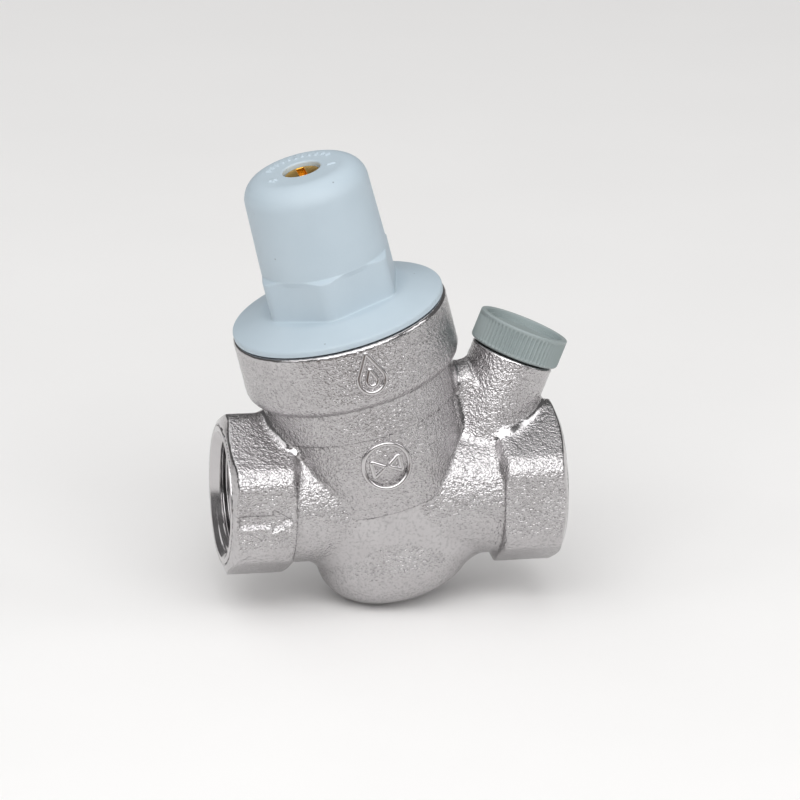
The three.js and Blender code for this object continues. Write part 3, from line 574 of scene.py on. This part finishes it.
def raised_line(path, drum, turn, height, width):
    """Points of a half-round line: the path's (across, up) in mm, wrapped on a drum."""
    path = np.array(path, float)
    ahead, behind = np.roll(path, -1, axis=0), np.roll(path, 1, axis=0)
    along = ahead - behind
    along /= np.linalg.norm(along, axis=1)[:, None]
    beside = np.stack([along[:, 1], -along[:, 0]], -1)
    sweep = np.linspace(0, TURN, 12, endpoint=False)
    across, up = width / 2 * np.cos(sweep), height * np.sin(sweep)
    flat = path[:, None, :] + across[None, :, None] * beside[:, None, :]
    radius = drum + np.broadcast_to(up, flat.shape[:2])
    angle = flat[..., 0] / drum - math.pi / 2 + turn
    return barrel.place(radius * np.cos(angle), radius * np.sin(angle), flat[..., 1])


def even_path(corners, spacing=0.25):
    """Points at an even spacing along a closed line through the corners."""
    corners = np.array(corners, float)
    closed = np.vstack([corners, corners[:1]])
    lengths = np.r_[0, np.cumsum(np.linalg.norm(np.diff(closed, axis=0), axis=1))]
    at = np.linspace(0, lengths[-1], int(lengths[-1] / spacing), endpoint=False)
    path = np.stack([np.interp(at, lengths, closed[:, d]) for d in range(2)], -1)
    for _ in range(2):
        path = (path + (np.roll(path, 1, axis=0) + np.roll(path, -1, axis=0)) / 2) / 2
    return path


def mark(name, lines, drum, turn=0.0, height=0.45, width=1.1):
    """One cast mark made of several closed lines."""
    points, faces, count = [], [], 0
    for line in lines:
        grid = raised_line(line, drum, turn, height, width)
        rows, columns = grid.shape[:2]
        points.append(grid.reshape(-1, 3))
        faces.append(grid_faces(rows, columns, closed_rows=True) + count)
        count += rows * columns
    piece = add_piece(name, np.concatenate(points), np.concatenate(faces), "housing")
    return piece


badge_level, badge_radius = 13.0, 5.25
triangle = [(0.35, 0), (3.2, 1.9), (3.2, -1.9)]
badge_lines = [
    even_path([(badge_radius * math.cos(a), badge_level + badge_radius * math.sin(a))
               for a in np.linspace(0, TURN, 64, endpoint=False)]),
    *[even_path([(side * x, badge_level + y) for x, y in triangle]) for side in (-1, 1)],
]


def drop_outline(radius, length, level):
    """A water drop: a round foot whose sides run straight up to a point."""
    touch = math.degrees(math.asin(radius / length))
    foot = bend((0, level), radius, 180 - touch, 360 + touch, 30)
    return even_path([(0, level + length), *foot])


drop_level = 35.0
drop_lines = [drop_outline(3.0, 6.6, drop_level), drop_outline(1.2, 3.0, drop_level - 0.2)]
marks = [
    mark("size_badge", badge_lines, barrel_radius),
    mark("water_drop", drop_lines, collar_radius, turn=math.radians(3)),
]

# %% [markdown]
# ## The bonnet
# The bonnet is injection moulded in pale glass-filled nylon. Going up it is a threaded skirt, a
# low coned flange that closes the barrel, a hexagon for the spanner and a round cap with a drafted
# side and a rounded top, all round one axis. So it is one grid: the rows start at the foot of the
# skirt, go up the outside and over the crown, and come back down the inside. The radius of the
# spanner rows changes with the angle, which gives the flats.

# %% Bonnet outline
skirt_bottom, flange_bottom, flange_top = 33.9, 43.2, 44.7
hex_foot, hex_top, cap_top = 47.3, 56.8, 77.98
spanner_half, spanner_turn = 14.0, math.radians(19)
top_cone = 1.87                    # drop of the hexagon's top for each mm outwards
cap_low, cap_high, cap_rounding = 14.3, 13.95, 5.0
hole_radius, crown_radius, crown_bottom, crown_floor = 4.25, 7.0, 68.0, 72.0
skirt_radius, skirt_inner, cap_bore = 20.7, 17.4, 11.4
flange_radius = 23.8
bonnet_columns = 288
bonnet_angle = np.arange(bonnet_columns) / bonnet_columns * TURN


def spanner_radius(angle):
    """Distance from the axis to the hexagon, its corners rounded by a mix of both limits."""
    fold = (angle - spanner_turn + TURN / 12) % (TURN / 6) - TURN / 12
    corner = spanner_half / math.cos(TURN / 12)
    inside = spanner_half / np.cos(TURN / 12 - np.abs(fold))
    limit = corner - 0.55
    mix = np.clip(0.5 + (limit - inside) / 0.9, 0, 1)
    return inside * mix + limit * (1 - mix) - 0.45 * mix * (1 - mix)


def outer_radius(height, angle):
    """The larger of the hexagon under its top cone and the round cap with its draft."""
    cone = cap_low + (hex_top - height) * top_cone
    soften = 0.12
    hexagon = spanner_radius(angle) + 0 * height
    shaved = -np.logaddexp(-hexagon / soften, -cone / soften) * soften
    draft = cap_low - (cap_low - cap_high) * (height - hex_top) / (cap_top - hex_top)
    cap = np.where(height > hex_top - 1, draft - 0.3 * np.clip(hex_top - height, 0, 1), 0)
    return np.logaddexp(shaved / soften, cap / soften) * soften


def round_rows(outline):
    """Rows that are the same all the way round: radius and height for each column."""
    outline = np.array(outline, float)
    return [np.repeat(outline[:, d:d + 1], bonnet_columns, 1) for d in range(2)]


def spanner_rows():
    """From the flange, over a small fillet and up the hexagon to the foot of the cap."""
    foot = 0.4
    swing = np.radians(np.linspace(0, 90, 6))[:, None]
    fillet = [spanner_radius(bonnet_angle) + foot * (1 - np.sin(swing)),
              hex_foot + foot * (1 - np.cos(swing)) + 0 * bonnet_angle]
    height = np.r_[np.linspace(hex_foot + foot + 0.4, hex_top - 2, 10),
                   np.linspace(hex_top - 1.8, hex_top + 0.3, 22)][:, None]
    return fillet, [outer_radius(height, bonnet_angle), height + 0 * bonnet_angle]


def skirt_rows():
    """The threaded skirt: its radius is the rounded wave of the thread, faded out at both ends."""
    height = np.linspace(flange_bottom - 0.5, skirt_bottom + 0.8, 84)[:, None]
    fade = np.clip(np.minimum(flange_bottom - 1.2 - height, height - skirt_bottom - 0.4) / 0.6, 0, 1)
    wave = thread_wave(height, bonnet_angle, bonnet_pitch)
    return [skirt_radius - 0.62 * wave * fade - 0.3 * (1 - fade), height + 0 * bonnet_angle]


print(f"spanner hexagon: {2 * spanner_half:.0f} mm across flats, {hex_top - hex_foot:.1f} mm high")

# %% [markdown]
# The crown has small moulded signs: a plus and a minus on either side of the screw, and a scale
# of short ticks behind it. They are raised from the same grid, so its rows are close together
# there. Each sign is a little wall with sloping sides, described by a distance in the plane of
# the crown.

# %% Signs on the crown
sign_height = 0.32
scale_ticks = np.radians(np.arange(-60, 61, 12))


def bar_distance(x, y, length, width):
    return np.maximum(np.abs(x) - length / 2, np.abs(y) - width / 2)


def crown_signs(radius, angle):
    """How much the crown is raised at a radius and an angle round the axis."""
    x, y = radius * np.cos(angle), radius * np.sin(angle)
    back = math.pi / 2
    ticks = []
    for place in scale_ticks:
        out = x * math.cos(back + place) + y * math.sin(back + place)
        beside = -x * math.sin(back + place) + y * math.cos(back + place)
        longer = 0.5 if abs(place) < 0.01 else 0
        ticks.append(bar_distance(out - 7.8 + longer / 2, beside, 1.3 + longer, 0.45))
    level = -2.4
    plus = np.minimum(bar_distance(x + 6.9, y - level, 2.0, 0.5),
                      bar_distance(x + 6.9, y - level, 0.5, 2.0))
    minus = bar_distance(x - 6.4, y - level, 2.0, 0.5)
    nearest = np.minimum.reduce([*ticks, plus, minus])
    return sign_height * np.clip(0.5 - nearest / 0.22, 0, 1)


def crown_rows():
    """The flat crown from its rounded edge to the screw hole, with the signs raised on it."""
    radius = np.linspace(cap_high - cap_rounding, hole_radius + 0.45, 34)[:, None]
    height = cap_top + crown_signs(radius, bonnet_angle)
    return [radius + 0 * bonnet_angle, height]

print(f"{len(scale_ticks)} ticks, a plus and a minus, {sign_height} mm high")

# %% [markdown]
# The outline is put together from its stretches, in order, and every stretch gives its rows. A
# moulding has no sharp corner, so arcs round the flange, the crown and the screw hole.

# %% The bonnet's grid
cap_edge = bend((cap_high - cap_rounding, cap_top - cap_rounding), cap_rounding, 4, 88, 22)
cap_side = run((cap_low, hex_top + 0.5), (cap_high, cap_top - cap_rounding), 16)
hole_edge = bend((hole_radius + 0.4, cap_top - 0.4), 0.4, 90, 180, 5)
crown_inside = [
    *run((hole_radius, cap_top - 0.6), (hole_radius, crown_bottom), 6),
    *run((hole_radius, crown_bottom), (crown_radius, crown_bottom), 3),
    *run((crown_radius, crown_bottom), (crown_radius, crown_floor), 4),
    *run((crown_radius, crown_floor), (cap_bore, crown_floor), 4),
    *run((cap_bore, crown_floor), (cap_bore, flange_bottom), 16),
    *run((cap_bore, flange_bottom), (skirt_inner, flange_bottom - 5.2), 6),
    *run((skirt_inner, flange_bottom - 5.2), (skirt_inner, skirt_bottom), 4),
    *run((skirt_inner, skirt_bottom), (skirt_radius - 0.7, skirt_bottom), 3),
    (skirt_radius - 0.35, skirt_bottom + 0.1),
]
flange_edge = [
    *bend((flange_radius - 0.2, flange_bottom + 0.2), 0.2, -90, 0, 5),
    *bend((flange_radius - 0.55, flange_top - 0.55), 0.55, 0, 70, 7),
    *run((flange_radius - 0.8, flange_top + 0.15), (spanner_half + 2.3, hex_foot), 12),
    (spanner_half + 2.1, hex_foot),
]
under_flange = run((skirt_radius - 0.3, flange_bottom - 0.2), (flange_radius - 0.5, flange_bottom), 4)
fillet_rows, hexagon_rows = spanner_rows()
upward = [
    [rows[::-1] for rows in skirt_rows()],
    round_rows(under_flange),
    round_rows(flange_edge),
    fillet_rows,
    hexagon_rows,
    round_rows(cap_side),
    round_rows(cap_edge),
    crown_rows(),
    round_rows(hole_edge),
    round_rows(crown_inside),
]
bonnet_radius = np.vstack([part[0] for part in upward])
bonnet_height = np.vstack([part[1] for part in upward])
bonnet_points = barrel.place(
    bonnet_radius * np.cos(bonnet_angle), bonnet_radius * np.sin(bonnet_angle), bonnet_height)
bonnet = add_piece("moulded_bonnet", bonnet_points.reshape(-1, 3),
                   grid_faces(len(bonnet_radius), bonnet_columns, closed_rows=True), "bonnet")
sharpen(bonnet, 60)
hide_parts("bonnet")

# %% [markdown]
# ## The adjusting screw
# A brass screw with a slot sits in the crown. A slot crosses the axis, so this piece is described
# by distance again: a threaded rod with chamfered ends, less a box. The thread is the distance to
# a radius that waves with height and angle.

# %% Adjusting screw
screw_radius, screw_bottom, screw_top = 3.95, 61.65, 77.05
slot_width, slot_length, slot_depth = 1.8, 6.6, 2.0
screw_pitch = bonnet_pitch


def screw_shape(p):
    x, y, h = barrel.measure(p)
    radius, angle = np.hypot(x, y), np.arctan2(y, x)
    wave = 0.45 * thread_wave(h, angle, screw_pitch) * (h < screw_top - 3)
    rod = overlap(radius - screw_radius + wave, np.abs(h - (screw_top + screw_bottom) / 2)
                  - (screw_top - screw_bottom) / 2, 0.4)
    sides = np.maximum(np.abs(x) - slot_width / 2, np.abs(y) - slot_length / 2)
    slot = np.maximum(sides, screw_top - slot_depth - h)
    return overlap(rod, -slot, 0.12)


low, high = (np.array(corner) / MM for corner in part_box("adjusting_screw"))
screw_points, screw_quads = carve(screw_shape, low, high, 0.18)
screw = add_piece("slotted_screw", screw_points, screw_quads, "adjuster")
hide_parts("adjusting_screw")

# %% [markdown]
# ## The gauge plug
# The spare gauge port is closed by a moulded plug with 64 grip ribs, a thin plain band above
# them and a shallow recess on top. Its radius is again a function of angle and height: the ribs
# are a wave round the axis that fades out at both ends of the grip.

# %% Gauge plug
plug_radius, plug_bottom, plug_top = 10.24, 20.3, 27.09
plug_ribs, rib_depth = 64, 0.55
shank_radius, shank_bottom, shank_top = 6.2, 11.2, 22.0
recess_radius, recess_depth, recess_step = 8.9, 1.0, 0.6
seal_room = 8.3
plug_columns = plug_ribs * 7
plug_angle = np.arange(plug_columns) / plug_columns * TURN


def plug_rows(outline):
    """Rows of the plug: ribs on the outside of the head, a thread on the shank."""
    radius, height = np.array(outline, float).T[:, :, None]
    on_grip = np.clip((radius - plug_radius + 0.5) / 0.3, 0, 1)
    fade = np.clip(np.minimum(height - plug_bottom - 0.5, plug_top - 0.75 - height) / 0.35, 0, 1)
    rib = 0.5 - 0.5 * np.cos(plug_angle * plug_ribs)
    on_shank = np.clip(np.minimum(height - shank_bottom - 0.3, shank_top - 3 - height) / 0.5, 0, 1)
    on_shank = on_shank * (np.abs(radius - shank_radius) < 0.01)
    wave = thread_wave(height, plug_angle, plug_pitch)
    radius = radius - rib_depth * rib * on_grip * fade - 0.55 * wave * on_shank
    return radius, height + 0 * plug_angle


recess_floor = plug_top - recess_depth - recess_step
plug_outline = [
    (0, shank_bottom),
    *run((1.5, shank_bottom), (shank_radius - 0.6, shank_bottom), 4),
    *run((shank_radius - 0.5, shank_bottom), (shank_radius, shank_bottom + 0.3), 2),
    *run((shank_radius, shank_bottom + 0.3), (shank_radius, shank_top), 72),
    *run((shank_radius, shank_top), (seal_room, shank_top), 4),
    *run((seal_room, shank_top), (seal_room, plug_bottom), 3),
    *run((seal_room, plug_bottom), (plug_radius - 0.9, plug_bottom), 3),
    *bend((plug_radius - 0.9, plug_bottom + 0.9), 0.9, -90, 0, 8),
    *run((plug_radius, plug_bottom + 1.1), (plug_radius, plug_top - 0.35), 18),
    *bend((plug_radius - 0.35, plug_top - 0.35), 0.35, 0, 90, 6),
    *bend((recess_radius + 0.25, plug_top - 0.25), 0.25, 90, 180, 4),
    *run((recess_radius, plug_top - 0.4), (recess_radius, plug_top - recess_depth), 4),
    *run((recess_radius, plug_top - recess_depth), (recess_radius - 0.6, plug_top - recess_depth), 3),
    *run((recess_radius - 0.6, plug_top - recess_depth), (recess_radius - 0.6, recess_floor), 3),
    *run((recess_radius - 0.6, recess_floor), (0.6, recess_floor), 14),
    (0, recess_floor),
]
plug_r, plug_h = plug_rows(plug_outline)
plug_points = gauge.place(plug_r * np.cos(plug_angle), plug_r * np.sin(plug_angle), plug_h)
plug = add_piece("ribbed_plug", plug_points.reshape(-1, 3),
                 grid_faces(len(plug_r), plug_columns, closed_rows=False), "plug")
sharpen(plug, 60)
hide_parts("gauge_plug")

# %% [markdown]
# A black rubber ring fills the joint between the plug's head and the boss. It is the plainest grid
# of all, a small circle carried round a large one.

# %% Plug seal
seal_section, seal_outer, seal_level = 0.75, 8.0, 20.95
seal_angle = np.arange(96) / 96 * TURN
seal_swing = (np.arange(16) / 16 * TURN)[:, None]
seal_r = seal_outer - seal_section + seal_section * np.cos(seal_swing)
seal_points = gauge.place(seal_r * np.cos(seal_angle), seal_r * np.sin(seal_angle),
                          seal_level + seal_section * np.sin(seal_swing))
seal = add_piece("rubber_ring", seal_points.reshape(-1, 3),
                 grid_faces(16, 96, closed_rows=True), "plug_seal")
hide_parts("gauge_plug_seal")

# %% [markdown]
# ## Finishes
# Every finish starts from a Principled shader. One function adds a node, with its settings and
# its links. Another turns a colour from the usual sRGB hex into the linear numbers that the
# shader wants. Sizes of patterns are given in mm: the Object coordinates of these pieces are in
# metres, so a pattern that repeats every millimetre has a scale of a thousand.

# %% Material helpers


def linear(hex_colour):
    """An sRGB hex colour as linear red, green, blue and alpha."""
    parts = [int(hex_colour[i:i + 2], 16) / 255 for i in (1, 3, 5)]
    return [c / 12.92 if c <= 0.04045 else ((c + 0.055) / 1.055) ** 2.4 for c in parts] + [1.0]


def scale_for(size_mm):
    return 1 / (size_mm * MM)


def add(tree, kind, inputs, **settings):
    """Adds a node: settings are its properties, inputs are values or sockets to link from."""
    node = tree.nodes.new(kind)
    for name, value in settings.items():
        setattr(node, name, value)
    for name, value in inputs.items():
        if isinstance(value, bpy.types.NodeSocket):
            tree.links.new(value, node.inputs[name])
        else:
            node.inputs[name].default_value = value
    return node


def new_finish(name, **sockets):
    """A material, its Principled shader, and the place of each point as a texture coordinate."""
    material = bpy.data.materials.new(name)
    material.use_nodes = True
    tree = material.node_tree
    shader = tree.nodes["Principled BSDF"]
    for socket, value in sockets.items():
        shader.inputs[socket.replace("_", " ")].default_value = value
    where = add(tree, "ShaderNodeTexCoord", {}).outputs["Object"]
    return material, tree, shader, where


def wear(piece, material):
    """Gives a piece its only material."""
    piece.data.materials.clear()
    piece.data.materials.append(material)


print("mid grey #808080 is", round(linear("#808080")[0], 3), "in the shader's linear numbers")

# %% [markdown]
# **Nickel plate over a blasted forging.** Nickel is a slightly warm grey mirror. The plating
# follows the pebbled skin, so it glitters: every pebble tilts its own small mirror. Where the
# brass was turned before plating there are no pebbles and the mirror is clean. How smooth a
# point is goes to the material as an attribute of the mesh.

# %% How smooth each point is


def places_of(piece):
    """Where a piece's points are, in mm, one row for each."""
    flat = np.empty(len(piece.data.vertices) * 3)
    piece.data.vertices.foreach_get("co", flat)
    return flat.reshape(-1, 3) / MM


share = body.data.attributes.new("smooth", "FLOAT", "POINT")
share.data.foreach_set("value", smooth_share(places_of(body)).astype(np.float32))
print("points with a smooth share:", len(share.data))

# %% [markdown]
# The grit has two sizes, as blasting shot does: pebbles most of a millimetre wide, and half as
# wide ones between them. Both are a bump, for they are finer than the mesh. The colour drifts a
# little between a warmer and a cooler grey, and the hollows between the pebbles get painted shade.

# %% Plated forging


def blasted_nickel():
    material, tree, shader, where = new_finish("blasted_nickel_plate", Metallic=1.0)
    smooth_here = add(tree, "ShaderNodeAttribute", {}, attribute_name="smooth").outputs["Fac"]
    pebble = add(tree, "ShaderNodeTexNoise", {
        "Vector": where, "Scale": scale_for(0.7), "Detail": 1.5, "Roughness": 0.6})
    grit = add(tree, "ShaderNodeTexNoise", {
        "Vector": where, "Scale": scale_for(0.36), "Detail": 1.0, "Roughness": 0.5})
    height = add(tree, "ShaderNodeMath", {
        0: grit.outputs["Fac"], 1: 0.55, 2: pebble.outputs["Fac"]}, operation="MULTIPLY_ADD")
    strength = add(tree, "ShaderNodeMapRange", {
        "Value": smooth_here, "From Min": 0.0, "From Max": 1.0, "To Min": 1.0, "To Max": 0.02})
    bump = add(tree, "ShaderNodeBump", {
        "Height": height.outputs[0], "Strength": strength.outputs["Result"], "Distance": 0.33 * MM})
    patches = add(tree, "ShaderNodeTexNoise", {
        "Vector": where, "Scale": scale_for(7), "Detail": 3.0, "Roughness": 0.5})
    plate = add(tree, "ShaderNodeMix", {
        0: patches.outputs["Fac"], 6: linear("#BBB8B9"), 7: linear("#CDCBCC")}, data_type="RGBA")
    # painted shade: the plate is darkened to three quarters where the pebbles are low, in their hollows
    hollow_shade = add(tree, "ShaderNodeMapRange", {
        "Value": pebble.outputs["Fac"], "From Min": 0.28, "From Max": 0.5,
        "To Min": 0.75, "To Max": 1.0})
    shaded_plate = add(tree, "ShaderNodeMix", {
        0: 1.0, 6: plate.outputs[2], 7: hollow_shade.outputs["Result"]}, data_type="RGBA",
        blend_type="MULTIPLY")
    rough = add(tree, "ShaderNodeMapRange", {
        "Value": smooth_here, "From Min": 0.0, "From Max": 1.0, "To Min": 0.22, "To Max": 0.15})
    tree.links.new(shaded_plate.outputs[2], shader.inputs["Base Color"])
    tree.links.new(rough.outputs["Result"], shader.inputs["Roughness"])
    tree.links.new(bump.outputs["Normal"], shader.inputs["Normal"])
    return material


nickel = blasted_nickel()
wear(body, nickel)
print(f"{nickel.name}: on {body.name}")

# %% [markdown]
# **Clean metal.** The threads are cut after forging and the marks stand too proud to be pebbled,
# so both have clean plate with hardly any texture. Brass, stainless and spring wire are bare, and
# each is two close tones with a roughness that changes in patches, as handling and water leave it.

# %% Clean metals


def clean_metal(name, first, second, smoothest, roughest, ring_mm, ring_depth):
    material, tree, shader, where = new_finish(name, Metallic=1.0)
    patches = add(tree, "ShaderNodeTexNoise", {
        "Vector": where, "Scale": scale_for(3), "Detail": 3.0, "Roughness": 0.5})
    tone = add(tree, "ShaderNodeMix", {
        0: patches.outputs["Fac"], 6: linear(first), 7: linear(second)}, data_type="RGBA")
    rough = add(tree, "ShaderNodeMapRange", {
        "Value": patches.outputs["Fac"], "From Min": 0.3, "From Max": 0.7,
        "To Min": smoothest, "To Max": roughest})
    rings = add(tree, "ShaderNodeTexNoise", {
        "Vector": where, "Scale": scale_for(ring_mm), "Detail": 1.0, "Roughness": 0.5})
    bump = add(tree, "ShaderNodeBump", {
        "Height": rings.outputs["Fac"], "Strength": 0.3, "Distance": ring_depth * MM})
    tree.links.new(tone.outputs[2], shader.inputs["Base Color"])
    tree.links.new(rough.outputs["Result"], shader.inputs["Roughness"])
    tree.links.new(bump.outputs["Normal"], shader.inputs["Normal"])
    return material


clean_nickel = clean_metal("clean_nickel_plate", "#BFBCBD", "#D2D0D1", 0.14, 0.24, 0.5, 0.02)
for piece in [*port_threads, *marks]:
    wear(piece, clean_nickel)
finishes = {
    "brass": clean_metal("machined_brass", "#D9A23B", "#E8BC5C", 0.22, 0.34, 0.4, 0.03),
    "stainless": clean_metal("satin_stainless", "#B4B5B6", "#C6C7C8", 0.26, 0.4, 0.3, 0.03),
    "spring_steel": clean_metal("drawn_spring_steel", "#8A8D91", "#9A9DA1", 0.3, 0.42, 0.3, 0.03),
}
wear(screw, finishes["brass"])
print("clean metals:", clean_nickel.name, *[finish.name for finish in finishes.values()])

# %% [markdown]
# **Moulded nylon.** The bonnet and the plug are glass-filled nylon: satin, evenly coloured, with
# a barely grained skin, a cloudy change of tone where the melt flowed, and here and there a
# dark speck. Nylon's IOR is close to 1.53. Acetal and rubber are mouldings too.

# %% Moulded finishes


def moulding(name, first, second, roughness, grain_mm):
    material, tree, shader, where = new_finish(name, IOR=1.53, Roughness=roughness)
    cloud = add(tree, "ShaderNodeTexNoise", {
        "Vector": where, "Scale": scale_for(9), "Detail": 3.0, "Roughness": 0.5})
    tone = add(tree, "ShaderNodeMix", {
        0: cloud.outputs["Fac"], 6: linear(first), 7: linear(second)}, data_type="RGBA")
    specks = add(tree, "ShaderNodeTexVoronoi", {"Vector": where, "Scale": scale_for(4.5)})
    speck = add(tree, "ShaderNodeMapRange", {
        "Value": specks.outputs["Distance"], "From Min": 0.035, "From Max": 0.06,
        "To Min": 0.6, "To Max": 1.0})
    specked = add(tree, "ShaderNodeMix", {
        0: 1.0, 6: tone.outputs[2], 7: speck.outputs["Result"]}, data_type="RGBA",
        blend_type="MULTIPLY")
    grain = add(tree, "ShaderNodeTexNoise", {
        "Vector": where, "Scale": scale_for(grain_mm), "Detail": 2.0, "Roughness": 0.5})
    bump = add(tree, "ShaderNodeBump", {
        "Height": grain.outputs["Fac"], "Strength": 0.25, "Distance": 0.05 * MM})
    tree.links.new(specked.outputs[2], shader.inputs["Base Color"])
    tree.links.new(bump.outputs["Normal"], shader.inputs["Normal"])
    return material


finishes["pale_nylon"] = moulding("moulded_pale_nylon", "#B2C1CB", "#BCCAD3", 0.5, 0.5)
finishes["grey_nylon"] = moulding("moulded_grey_nylon", "#8F9A9A", "#9AA4A4", 0.48, 0.4)
finishes["acetal"] = moulding("moulded_acetal", "#DEDCD2", "#E8E6DE", 0.42, 0.4)
finishes["rubber"] = moulding("nitrile_rubber", "#1A1A1C", "#242426", 0.6, 0.3)
for piece, slot in [(bonnet, "pale_nylon"), (plug, "grey_nylon"), (seal, "rubber")]:
    wear(piece, finishes[slot])
    print(f"{piece.name}: {finishes[slot].name}")

# %% [markdown]
# The pieces inside the valve keep the working model's shapes, and each takes the finish of
# the record's slot for it.

# %% Finishes of the inner pieces
record_slots = {
    "rubber": ["diaphragm", "seat_o_ring", "cage_o_ring", "obturator_seal", "piston_o_ring"],
    "stainless": ["upper_spring_plate", "lower_spring_plate", "slip_ring", "valve_seat", "strainer"],
    "spring_steel": ["main_spring"],
    "brass": ["control_stem", "stem_nut", "diaphragm_backing_plate", "seal_retaining_washer",
              "obturator"],
    "acetal": ["cartridge_cage"],
}
for slot, nodes in record_slots.items():
    for node in nodes:
        wear(frame["nodes"][node], finishes[slot])
    print(f"{finishes[slot].name}: {len(nodes)} inner pieces")

# %% [markdown]
# ## Studio
# A pale matte floor runs out of sight, so the picture has one calm background. A plated body
# shows mostly what is around it. Broad, weak light panels keep the nylon evenly lit and give the
# plate its bright facets. A grey card lies on the floor in front, just out of the picture: the
# upright sides of the barrel mirror it, and that is what gives bright metal its darker half.

# %% Floor and card
floor_level = min(cad_box[0].z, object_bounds()[0].z)


def flat_sheet(name, corner, size, level, first, second):
    """A level grid of 24 by 24 quads, its x and y evenly spaced from one corner, in metres."""
    x, y = np.meshgrid(*[np.linspace(c, c + s, 25) for c, s in zip(corner, size)], indexing="ij")
    row, column = np.meshgrid(np.arange(24), np.arange(24), indexing="ij")
    start = (row * 25 + column).ravel()
    mesh = bpy.data.meshes.new(name)
    mesh.from_pydata(np.stack([x, y, level + 0 * x], -1).reshape(-1, 3).tolist(), [],
                     np.stack([start, start + 25, start + 26, start + 1], -1).tolist())
    sheet = bpy.data.objects.new(name, mesh)
    bpy.context.scene.collection.objects.link(sheet)
    material, tree, shader, where = new_finish(name, Roughness=0.9)
    fibres = add(tree, "ShaderNodeTexNoise", {
        "Vector": where, "Scale": scale_for(60), "Detail": 2.0, "Roughness": 0.5})
    paper = add(tree, "ShaderNodeMix", {
        0: fibres.outputs["Fac"], 6: linear(first), 7: linear(second)}, data_type="RGBA")
    tree.links.new(paper.outputs[2], shader.inputs["Base Color"])
    mesh.materials.append(material)


flat_sheet("matte_paper", (-6, -6), (12, 12), floor_level, "#F2F1F0", "#F6F5F4")
flat_sheet("grey_card", (-0.35, -0.75), (0.55, 0.605), floor_level + MM, "#665B58", "#70655F")
print(f"floor at {floor_level / MM:.1f} mm")

# %% [markdown]
# Every panel is large and weak, like a softbox. A small strong lamp would leave a white dot on
# each pebble, and a large one leaves a soft gradient. Brightness is what the metal mirrors, so
# that is what is chosen, and the power follows from it and from the panel's area.

# %% Light panels


def soft_light(name, place, size, brightness):
    """A panel that faces the valve; its power follows from its area and its brightness."""
    light = bpy.data.lights.new(name, "AREA")
    light.shape, light.size, light.size_y = "RECTANGLE", *size
    light.energy = brightness * math.pi * size[0] * size[1]
    lamp = bpy.data.objects.new(name, light)
    lamp.location = place
    lamp.rotation_euler = (Vector((0, 0, 0.02)) - Vector(place)).to_track_quat("-Z", "Y").to_euler()
    bpy.context.scene.collection.objects.link(lamp)
    print(f"{name}: {light.energy:.1f} W")


soft_light("overhead", (-0.3, 0.1, 1.4), (2.4, 2.0), 0.9)
soft_light("front_high", (-0.1, -1.25, 1.0), (2.4, 1.2), 2.7)
soft_light("left_side", (-1.3, -0.4, 0.8), (0.7, 0.8), 1.2)
soft_light("right_side", (1.3, -0.4, 0.8), (0.8, 0.8), 2.0)

world = bpy.data.worlds.new("grey_surround")
bpy.context.scene.world = world
world.use_nodes = True
world.node_tree.nodes["Background"].inputs["Color"].default_value = linear("#C8C7C7")
world.node_tree.nodes["Background"].inputs["Strength"].default_value = 0.25
bpy.context.scene.view_settings.view_transform = "Standard"

# %% [markdown]
# ## Camera
# The valve is seen from in front and a little to the left of the outlet, from about twenty
# degrees above, with a long lens, so there is hardly any perspective. The tilt of the picture is
# one degree. The camera aims at the middle of the view, a little above the pipe run.

# %% Camera
azimuth, elevation, tilt = math.radians(11.0), math.radians(19.82), math.radians(1.04)
distance, lens = 1.632, 329.0
towards_camera = Vector((-math.sin(azimuth) * math.cos(elevation),
                         -math.cos(azimuth) * math.cos(elevation), math.sin(elevation)))
right = Vector((math.cos(azimuth), -math.sin(azimuth), 0))
up = towards_camera.cross(right)
tilted_right = right * math.cos(tilt) + up * math.sin(tilt)
tilted_up = up * math.cos(tilt) - right * math.sin(tilt)
aim = tilted_right * 0.00266 + tilted_up * 0.0193
camera = bpy.data.objects.new("camera", bpy.data.cameras.new("camera"))
camera.data.lens, camera.data.sensor_width = lens, 36
camera.data.clip_start, camera.data.clip_end = 0.05, 60
camera.location = aim + towards_camera * distance
axes = [tilted_right, tilted_up, towards_camera]
camera.rotation_euler = Matrix(axes).transposed().to_euler()
bpy.context.scene.collection.objects.link(camera)
bpy.context.scene.camera = camera
print(f"camera: {distance / MM:.0f} mm away, with a {lens:.0f} mm lens")
